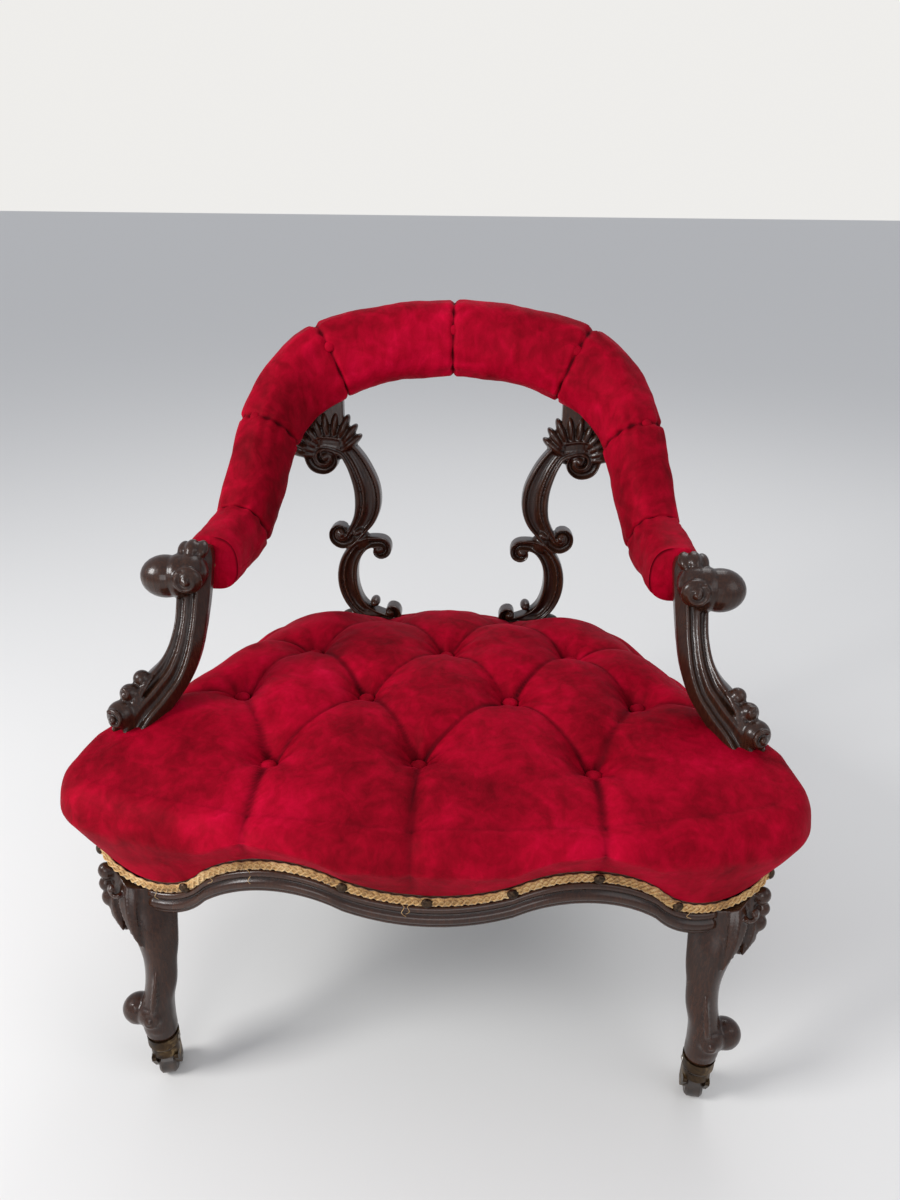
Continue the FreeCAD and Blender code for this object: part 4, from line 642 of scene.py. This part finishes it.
# The hoop is wound with horsehair and covered in crushed crimson velvet. A seam is sewn across it at every
# break of its line, each drawn in by a small covered button, and puckers run out from the seams.
HOOP_HALF = ((238, -28, 478), (234, 15, 480), (228, 60, 488), (218, 104, 530), (208, 140, 575),
             (187, 182, 616), (145, 208, 649), (76, 224, 664), (0, 232, 669))
HOOP_LEAN = 12
HOOP_SPANS = 32
END_COVER = 3
# station, and how far round the roll from its inner face, in degrees
BUTTONED_SEAMS = ((2, 95), (4, 90), (6, 22), (8, 12))
cloth = Recipe("crushed_velvet")
crushed = cloth.clouds(30, 5, 0.6, 0.8)
broad = cloth.clouds(8, 2, 0.5, 0.3)
flecks = cloth.clouds(110, 3, 0.6, 0.6, cloth.stretched((1, 1, 0.4)))
pile = cloth.clouds(900, 2, 0.7)
lay = crushed * 0.40 + broad * 0.40 + flecks * 0.20
red = cloth.ramp(lay, [
    (0.36, (0.15, 0.0003, 0.005)), (0.46, (0.26, 0.0006, 0.010)), (0.54, (0.37, 0.0008, 0.016)),
    (0.62, (0.48, 0.0013, 0.025)), (0.71, (0.66, 0.004, 0.045)),
])
# Painted shade: where the mesh curves into a crease, the velvet's colour is mixed towards near-black, so
# pleats, seams and button pits are painted darker.
fold = cloth.node("ShaderNodeNewGeometry", output="Pointiness")
light = cloth.ramp(fold, [(0.455, (0.10, 0.10, 0.10)), (0.495, (0.80, 0.80, 0.80)), (0.52, (1.0, 1.0, 1.0))])
crimson = cloth.surface({
    "Base Color": cloth.mixed(light, (0.045, 0.0001, 0.002, 1), red), "Roughness": 0.55 + lay * 0.25,
    "Sheen Weight": 0.2, "Sheen Roughness": 0.3, "Sheen Tint": (1.0, 0.03, 0.10, 1),
    "Specular IOR Level": 0.04,
}, lay * 0.7 + pile * 0.3, 0.0016, 0.45)
whole = list(HOOP_HALF) + [(-x, y, z) for x, y, z in reversed(HOOP_HALF[:-1])]
run = [Vector(place) for place in eased(whole, HOOP_SPANS)]
run[0].y -= END_COVER
run[-1].y -= END_COVER
half_count = (len(run) - 1) / 2


def hoop_station(index):
    """How far from an end to the middle that is, the ways out and up there, and the roll's half sizes."""
    along = (run[min(index + 1, len(run) - 1)] - run[max(index - 1, 0)]).normalized()
    out = along.cross(Vector((0, 0, 1))).normalized()
    rise = out.cross(along)
    share = 1 - abs(index - half_count) / half_count
    lean = math.radians(HOOP_LEAN * share)
    rise, out = rise * math.cos(lean) + out * math.sin(lean), out * math.cos(lean) - rise * math.sin(lean)
    return share, out, rise, 26 + 8 * share, 29 + 16 * share


travelled = [0.0]
for first, second in zip(run, run[1:]):
    travelled.append(travelled[-1] + (second - first).length)
seams = [travelled[index * HOOP_SPANS] for index in range(2, 15, 2)]
rings = []
for index, place in enumerate(run):
    share, out, rise, half_thick, half_tall = hoop_station(index)
    # The roll is pinched at every seam, rounded off at both ends, and fuller where it turns down to the arms.
    gap = min(abs(travelled[index] - seam) for seam in seams)
    to_end = min(travelled[index], travelled[-1] - travelled[index])
    drawn_in = 1.015 - 0.085 * math.exp(-(gap / 2.6) ** 2) - 0.045 * math.exp(-gap / 18)
    rounding = math.sqrt(1 - max(0.0, 1 - to_end / 5) ** 2) * 0.08 + 0.92
    haunch = math.exp(-((share * 8 - 5.9) / 0.75) ** 2)
    place = place - Vector((0, 0, 4 * haunch))
    tall = (half_tall + 6 * haunch) * drawn_in * rounding
    thick = half_thick * drawn_in * rounding
    ring = []
    for step in range(72):
        angle = 2 * math.pi * step / 72
        c, s = math.cos(angle), math.sin(angle)
        a, b = squared(angle, 2.9 if c > 0 else 2.5)
        spot = place + out * (a * thick) + rise * (b * tall)
        folds = math.exp(-gap / 17) * math.cos(11 * angle + index // HOOP_SPANS) * 1.3
        slack = noise.noise(spot * 0.028) * 1.6 + noise.noise(spot * 0.075) * 0.7
        ring.append(spot + (out * c + rise * s) * (folds + slack) * min(1.0, to_end / 12))
    rings.append(ring)
hoop = to_frame(lofted("velvet_hoop", rings))
fitted(hoop, crimson, "velvet", "hoop_pad")

# The seat is stuffed over springs and deeply buttoned. Pleats join the buttons in diamonds and run down over
# the front edge, and the velvet is drawn under the bulge to the line of the braid.
BUTTONS = (
    ((-157, -176), (-14, -172), (151, -176)),
    ((-208, -71), (-76, -71), (74, -71), (206, -71)),
    ((-148, 26), (3, 26), (144, 26)),
    ((-74, 123), (74, 123)),
)
SHOULDER_INSET = 25
RING_STEP = 30
PER_LEVEL = 4
TOP_ROWS = 96
TOP_CENTRE = -30


def crown(x, y):
    """Height of the stuffing's top between its buttons."""
    ahead = y + 20
    haunch = 16 * (x / 200) ** 2 * max(0.0, ahead / 200) ** 2
    rear = 26 * (1 - math.exp(-(max(0.0, ahead - 125) / 50) ** 2))
    return 375 - 7 * (x / 300) ** 2 - 23 * (ahead / 200) ** 2 - haunch - rear


PLEATS = []
for row, next_row in zip(BUTTONS, BUTTONS[1:]):
    for x, y in row:
        for next_x, next_y in next_row:
            if abs(next_x - x) < 110:
                PLEATS.append((Vector((x, y)), Vector((next_x, next_y))))
RIM_PLEATS = [(Vector((x, y)), Vector((x * 1.02, -310))) for x, y in BUTTONS[0]]
RIM_PLEATS += [(Vector(BUTTONS[1][0]), Vector((-360, -112))), (Vector(BUTTONS[1][3]), Vector((360, -112))),
               (Vector(BUTTONS[2][0]), Vector((-280, 60))), (Vector(BUTTONS[2][2]), Vector((280, 60))),
               (Vector(BUTTONS[3][0]), Vector((-86, 240))), (Vector(BUTTONS[3][1]), Vector((86, 240)))]
ALL_BUTTONS = [Vector(spot) for row in BUTTONS for spot in row]


def off_line(point, start, end):
    """Distance to a run, and how far along it the nearest point lies."""
    run = end - start
    share = max(0.0, min(1.0, (point - start).dot(run) / run.length_squared))
    return (point - start - run * share).length, share


def drawn_down(x, y, top):
    """How deep the velvet lies below the stuffing's smooth form there; top fades the buttons at the rim."""
    here = Vector((x, y))
    near = min(ALL_BUTTONS, key=lambda spot: (spot - here).length_squared)
    reach = (near - here).length
    turn = math.atan2(y - near.y, x - near.x)
    dip = 24 * math.exp(-(reach / 19) ** 1.15) * top
    dip += 2.0 * math.exp(-reach / 24) * math.cos(8 * turn + near.x) * top * min(1.0, reach / 9)
    crease = 0.0
    for start, end in PLEATS:
        gap, share = off_line(here, start, end)
        middle = 1 - 0.55 * math.sin(math.pi * share)
        hollow = math.exp(-gap / 6) * 0.5 + math.exp(-(gap / 26) ** 2) * 0.5
        crease = max(crease, 18 * middle * hollow * top)
    for start, end in RIM_PLEATS:
        gap, share = off_line(here, start, end)
        crease = max(crease, (10 - 6.5 * share) * math.exp(-gap / (9 - 4 * share)))
    return dip + crease


def seat_levels(x, y, share_back, low, top):
    """Insets and heights up the cushion's side at one point of its outline, from the braid to the top."""
    gimp = gimp_height(x, y) + 6
    face = FACE_INSET + (BACK_INSET - FACE_INSET) * share_back
    widest = max(gimp + face * 1.3, 306 - 16 * low)
    levels = [(face + 0.8, gimp + 1)]
    for step in range(6):
        share = step / 6
        levels.append((face * (1 - share) ** 1.15, gimp + (widest - gimp) * share))
    for step in range(6):
        turn = math.radians(16 * step)
        height = widest + (top - widest) * math.sin(turn) ** (1 + 0.5 * low)
        levels.append((SHOULDER_INSET * (1 - math.cos(turn)), height))
    levels.append((SHOULDER_INSET, top))
    return levels


outer = plan_ring(0, 0, 0)
inner = plan_ring(RING_STEP, RING_STEP, RING_STEP)
count = len(outer)
# The stuffing's smooth form: columns up its side, then rings over the top to the middle.
columns, lining, foot = [], [], []
for edge, further in zip(outer, inner):
    way_in = (further - edge) / RING_STEP
    back_share = max(0.0, min(1.0, (edge.y - 80) / 90))
    face = FACE_INSET + (BACK_INSET - FACE_INSET) * back_share
    rail = edge + way_in * face
    lining.append(Vector((*(edge + way_in * 60), 302.5)))
    foot.append(Vector((*(edge + way_in * (face + 0.6)), 302)))
    haunch_share = max(0.0, min(1.0, (edge.y + 150) / 130))
    last_spot = edge + way_in * SHOULDER_INSET
    top = crown(last_spot.x, last_spot.y) - 3.5 - 38 * haunch_share * (1 - back_share)
    levels = seat_levels(rail.x, rail.y, back_share, min(1.0, haunch_share + back_share), top)
    column = [Vector((*(edge + way_in * inset), z)) for inset, z in eased(levels, PER_LEVEL)]
    columns.append(column)
side_rows = len(columns[0])
rings = [[columns[index][row] for index in range(count)] for row in range(side_rows)]
for row in range(1, TOP_ROWS):
    share = 1 - row / TOP_ROWS
    ring = []
    for index in range(count):
        rim = columns[index][-1]
        x = rim.x * share
        y = (rim.y - TOP_CENTRE) * share + TOP_CENTRE
        lip = rim.z - crown(rim.x, rim.y)
        inside = (1 - share) * math.hypot(rim.x, rim.y - TOP_CENTRE)
        ring.append(Vector((x, y, crown(x, y) + lip * math.exp(-(inside / 30) ** 1.3))))
    rings.append(ring)
# The velvet over it: drawn down at the buttons and pleats, slack between them and tight at the braid.
smooth_rings = rings
rings = []
for row, ring in enumerate(smooth_rings):
    below = smooth_rings[max(row - 1, 0)]
    above = smooth_rings[min(row + 1, len(smooth_rings) - 1)]
    top = max(0.0, min(1.0, (row - side_rows * 0.72) / (side_rows * 0.28)))
    fresh = []
    for index, spot in enumerate(ring):
        round_way = ring[(index + 1) % count] - ring[index - 1]
        normal = round_way.cross(above[index] - below[index]).normalized()
        slack = noise.noise(spot * 0.018) * 2.2 + noise.noise(spot * 0.055) * 0.9
        fade = min(1.0, row / (side_rows * 0.45)) ** 1.5
        depth = drawn_down(spot.x, spot.y, top) * fade
        fresh.append(spot - normal * (depth - slack * fade))
    rings.append(fresh)
seat = lofted("velvet_seat", [lining, foot] + rings)
eased_cloth = seat.modifiers.new("eased", "SMOOTH")
eased_cloth.factor = 0.5
eased_cloth.iterations = 2
bpy.ops.object.select_all(action="DESELECT")
bpy.context.view_layer.objects.active = seat
bpy.ops.object.modifier_apply(modifier="eased")
to_frame(seat)
fitted(seat, crimson, "velvet", "seat_cushion")

# Covered buttons: a shallow dome of the same velvet over a metal cap, pinched at its rim. They sit in the
# seat's tufts and at the hoop's seams, on top of the arms and on the inner face of the back.
BUTTON_DEPTH = 26.5
bpy.ops.object.select_all(action="DESELECT")
bpy.ops.mesh.primitive_uv_sphere_add(segments=28, ring_count=14)
cap = bpy.context.object
bpy.ops.object.mode_set(mode="EDIT")
bpy.ops.mesh.select_all(action="SELECT")
bpy.ops.mesh.bisect(plane_co=(0, 0, -0.35), plane_no=(0, 0, 1), clear_inner=True, use_fill=True)
bpy.ops.object.mode_set(mode="OBJECT")
for corner in cap.data.vertices:
    turn = math.atan2(corner.co.y, corner.co.x)
    reach = math.hypot(corner.co.x, corner.co.y)
    corner.co.z += 0.05 * reach * math.cos(9 * turn)
cap.data.shade_smooth()


def buttoned(name, places, radius, dome, replaced):
    """Buttons at places with the ways that they face, made as one piece."""
    copies = []
    for place, facing in places:
        twin = cap.copy()
        twin.data = cap.data.copy()
        bpy.context.collection.objects.link(twin)
        turn = facing.to_track_quat("Z", "Y").to_matrix().to_4x4()
        twin.data.transform(Matrix.Translation(place) @ turn @ Matrix.Diagonal((radius, radius, dome, 1)))
        copies.append(twin)
    return fitted(to_frame(joined(name, copies)), crimson, "velvet", replaced)


seat_places = []
for x, y in ALL_BUTTONS:
    seat_places.append((Vector((x, y, crown(x, y) - BUTTON_DEPTH)), Vector((0, 0, 1))))
buttoned("velvet_seat_buttons", seat_places, 8, 4.5, "seat_buttons")
hoop_places = []
for station, turn in BUTTONED_SEAMS:
    middle = station * HOOP_SPANS
    share, out, rise, half_thick, half_tall = hoop_station(middle)
    across, height = -math.cos(math.radians(turn)), math.sin(math.radians(turn))
    tall, thick = half_tall * 0.92, half_thick * 0.92
    facing = (out * (across / thick) + rise * (height / tall)).normalized()
    spot = run[middle] + out * (across * thick) + rise * (height * tall) - facing * 1.5
    hoop_places.append((spot, facing))
    if share < 1:
        hoop_places.append((Vector((-spot.x, spot.y, spot.z)), Vector((-facing.x, facing.y, facing.z))))
buttoned("velvet_hoop_buttons", hoop_places, 6.2, 3.4, "hoop_buttons")
bpy.data.objects.remove(cap)

# Gimp: a scalloped braid of cream and old-gold cord, glued over the cover's lower edge and tacked down with
# dark domed nails. Two cords wave across each other on a woven ground whose lower edge is scalloped.
SCALLOP_PITCH = 11.5
CORD_RADIUS = 1.05
# where each hangs, how far it drops and which way it swings
THREADS = ((-165, 15, 5), (-196, 8, -4), (-24, 12, 4), (-14, 9, -3), (236, 7, 4), (-262, 9, 3))
braid = Recipe("gimp_cord")
ply = braid.clouds(420, 3, 0.6, 0.3)
soil = braid.clouds(30, 3, 0.5, 0.4)
cord_stuff = braid.surface({
    "Base Color": braid.ramp(ply * 0.45 + soil * 0.55, [
        (0.36, (0.24, 0.12, 0.035)), (0.5, (0.52, 0.31, 0.11)), (0.64, (0.70, 0.50, 0.24)),
    ]), "Roughness": 0.8, "Sheen Weight": 0.3, "Sheen Roughness": 0.5,
}, ply, 0.0005, 0.7)
fine = [Vector(place) for place in eased(face_line + face_line[:1], 6)[:-1]]
lengths = [0.0]
for first, second in zip(fine, fine[1:] + fine[:1]):
    lengths.append(lengths[-1] + (second - first).length)
scallops = round(lengths[-1] / SCALLOP_PITCH)
ground, waves = [], ([], [])
for index, point in enumerate(fine):
    ahead = fine[(index + 1) % len(fine)]
    behind = fine[index - 1]
    run_way = (ahead - behind).normalized()
    outward = Vector((run_way.y, -run_way.x, 0))
    middle = Vector((point.x, point.y, gimp_height(point.x, point.y)))
    slope = gimp_height(ahead.x, ahead.y) - gimp_height(behind.x, behind.y)
    along = Vector((ahead.x - behind.x, ahead.y - behind.y, slope)).normalized()
    over = along.cross(outward) * -1
    phase = 2 * math.pi * scallops * lengths[index] / lengths[-1]
    low = -3.6 - 1.3 * abs(math.sin(phase / 2))
    high = 4.0 + 0.5 * math.cos(phase)
    ground.append([middle + outward * d + over * h for d, h in (
        (0.4, low), (1.6, low), (1.9, low * 0.5), (1.9, high * 0.5), (1.6, high), (0.4, high))])
    for strand, shift in zip(waves, (0, math.pi)):
        swing = 2.7 * math.sin(phase + shift)
        lift = 2.3 + 0.55 * math.cos(phase + shift)
        centre = middle + outward * lift + over * (swing - 0.3)
        strand.append([centre + (outward * a + over * b) * CORD_RADIUS for a, b in ROUND[::2]])
pieces = [lofted("gimp_ground", ground, closed=True)]
pieces += [lofted("gimp_strand", strand, closed=True) for strand in waves]
fitted(to_frame(joined("scalloped_gimp", pieces)), cord_stuff, "braid", "gimp_braid")
pieces = []
for start, drop, swing in THREADS:
    x, y = min(fine, key=lambda place: abs(place.x - start) + (0 if place.y < -150 else 900))
    z = gimp_height(x, y)
    pieces.append(swept("thread", (
        (x, y - 2, z - 3, 0.3, 0.3), (x + swing, y - 4, z - drop * 0.5, 0.3, 0.3),
        (x + swing * 0.4, y - 5, z - drop, 0.25, 0.25), (x + swing * 1.5, y - 5.5, z - drop * 1.3, 0.2, 0.2),
    ), ROUND[::3], Vector((0, -1, 0)), 6))
fitted(to_frame(joined("loose_threads", pieces)), cord_stuff, "braid")
antique = Recipe("antiqued_nail")
tarnish = antique.clouds(300, 4, 0.6)
shade(["gimp_nails"], antique.surface({
    "Base Color": antique.ramp(tarnish, [(0.35, (0.012, 0.008, 0.006)), (0.7, (0.10, 0.06, 0.035))]),
    "Metallic": 0.9, "Roughness": 0.3 + tarnish * 0.25,
}, tarnish, 0.0002, 0.4))

# Castors: brass cups and forks gone dull and brown, worn bright at the rims, with dark pot wheels and steel
# axles, all as the frame has them.
CORNERS = ("front_left", "front_right", "rear_left", "rear_right")
old_brass = Recipe("aged_brass")
tarnish = old_brass.clouds(90, 5, 0.6, 0.5)
grime = old_brass.clouds(22, 3, 0.5)
brass = old_brass.surface({
    "Base Color": old_brass.ramp(tarnish * 0.6 + grime * 0.4, [
        (0.38, (0.020, 0.012, 0.007)), (0.52, (0.07, 0.042, 0.02)), (0.70, (0.36, 0.25, 0.12)),
    ]), "Metallic": 0.92, "Roughness": 0.28 + tarnish * 0.34,
}, tarnish, 0.0003, 0.5)
steel_recipe = Recipe("dull_steel")
spots = steel_recipe.clouds(160, 4, 0.6)
steel = steel_recipe.surface({
    "Base Color": steel_recipe.ramp(spots, [(0.35, (0.18, 0.15, 0.12)), (0.65, (0.5, 0.48, 0.45))]),
    "Metallic": 0.95, "Roughness": 0.3 + spots * 0.25,
}, spots, 0.0002, 0.4)
pot = Recipe("brown_wheel")
wear = pot.clouds(70, 4, 0.6, 0.3)
wheel_stuff = pot.surface({
    "Base Color": pot.ramp(wear, [
        (0.36, (0.018, 0.011, 0.008)), (0.55, (0.05, 0.03, 0.02)), (0.7, (0.14, 0.09, 0.06)),
    ]), "Roughness": 0.3 + wear * 0.35, "Coat Weight": 0.2,
}, wear, 0.0004, 0.5)
shade([f"castor_cup_{corner}" for corner in CORNERS] + [f"castor_fork_{corner}" for corner in CORNERS], brass)
shade([f"castor_axle_{corner}" for corner in CORNERS], steel)
shade(["castor_screws", "block_screws", "seat_springs"], steel)
shade([f"castor_wheel_{corner}" for corner in CORNERS], wheel_stuff)

# Under the seat: jute webbing, springs tied below the hessian, and a black cotton cover tacked over them.
# The weave is fine in the cotton and coarse in the jute.
jute = Recipe("jute")
weave = jute.waves("X", 160.0, 1.5) * 0.5 + jute.waves("Y", 160.0, 1.5) * 0.5
shade(["webbing", "hessian"], jute.surface({
    "Base Color": jute.ramp(weave, [(0.2, (0.20, 0.14, 0.07)), (0.8, (0.48, 0.37, 0.22))]), "Roughness": 0.85,
}, weave, 0.0005, 0.7))
cotton = Recipe("black_cotton")
weave = cotton.waves("X", 330.0, 1.0) * 0.5 + cotton.waves("Y", 330.0, 1.0) * 0.5
dust = cotton.clouds(12, 4, 0.6)
shade(["dust_cover"], cotton.surface({
    "Base Color": cotton.ramp(dust, [(0.35, (0.012, 0.012, 0.013)), (0.7, (0.045, 0.042, 0.04))]),
    "Roughness": 0.9,
}, weave, 0.0003, 0.6))
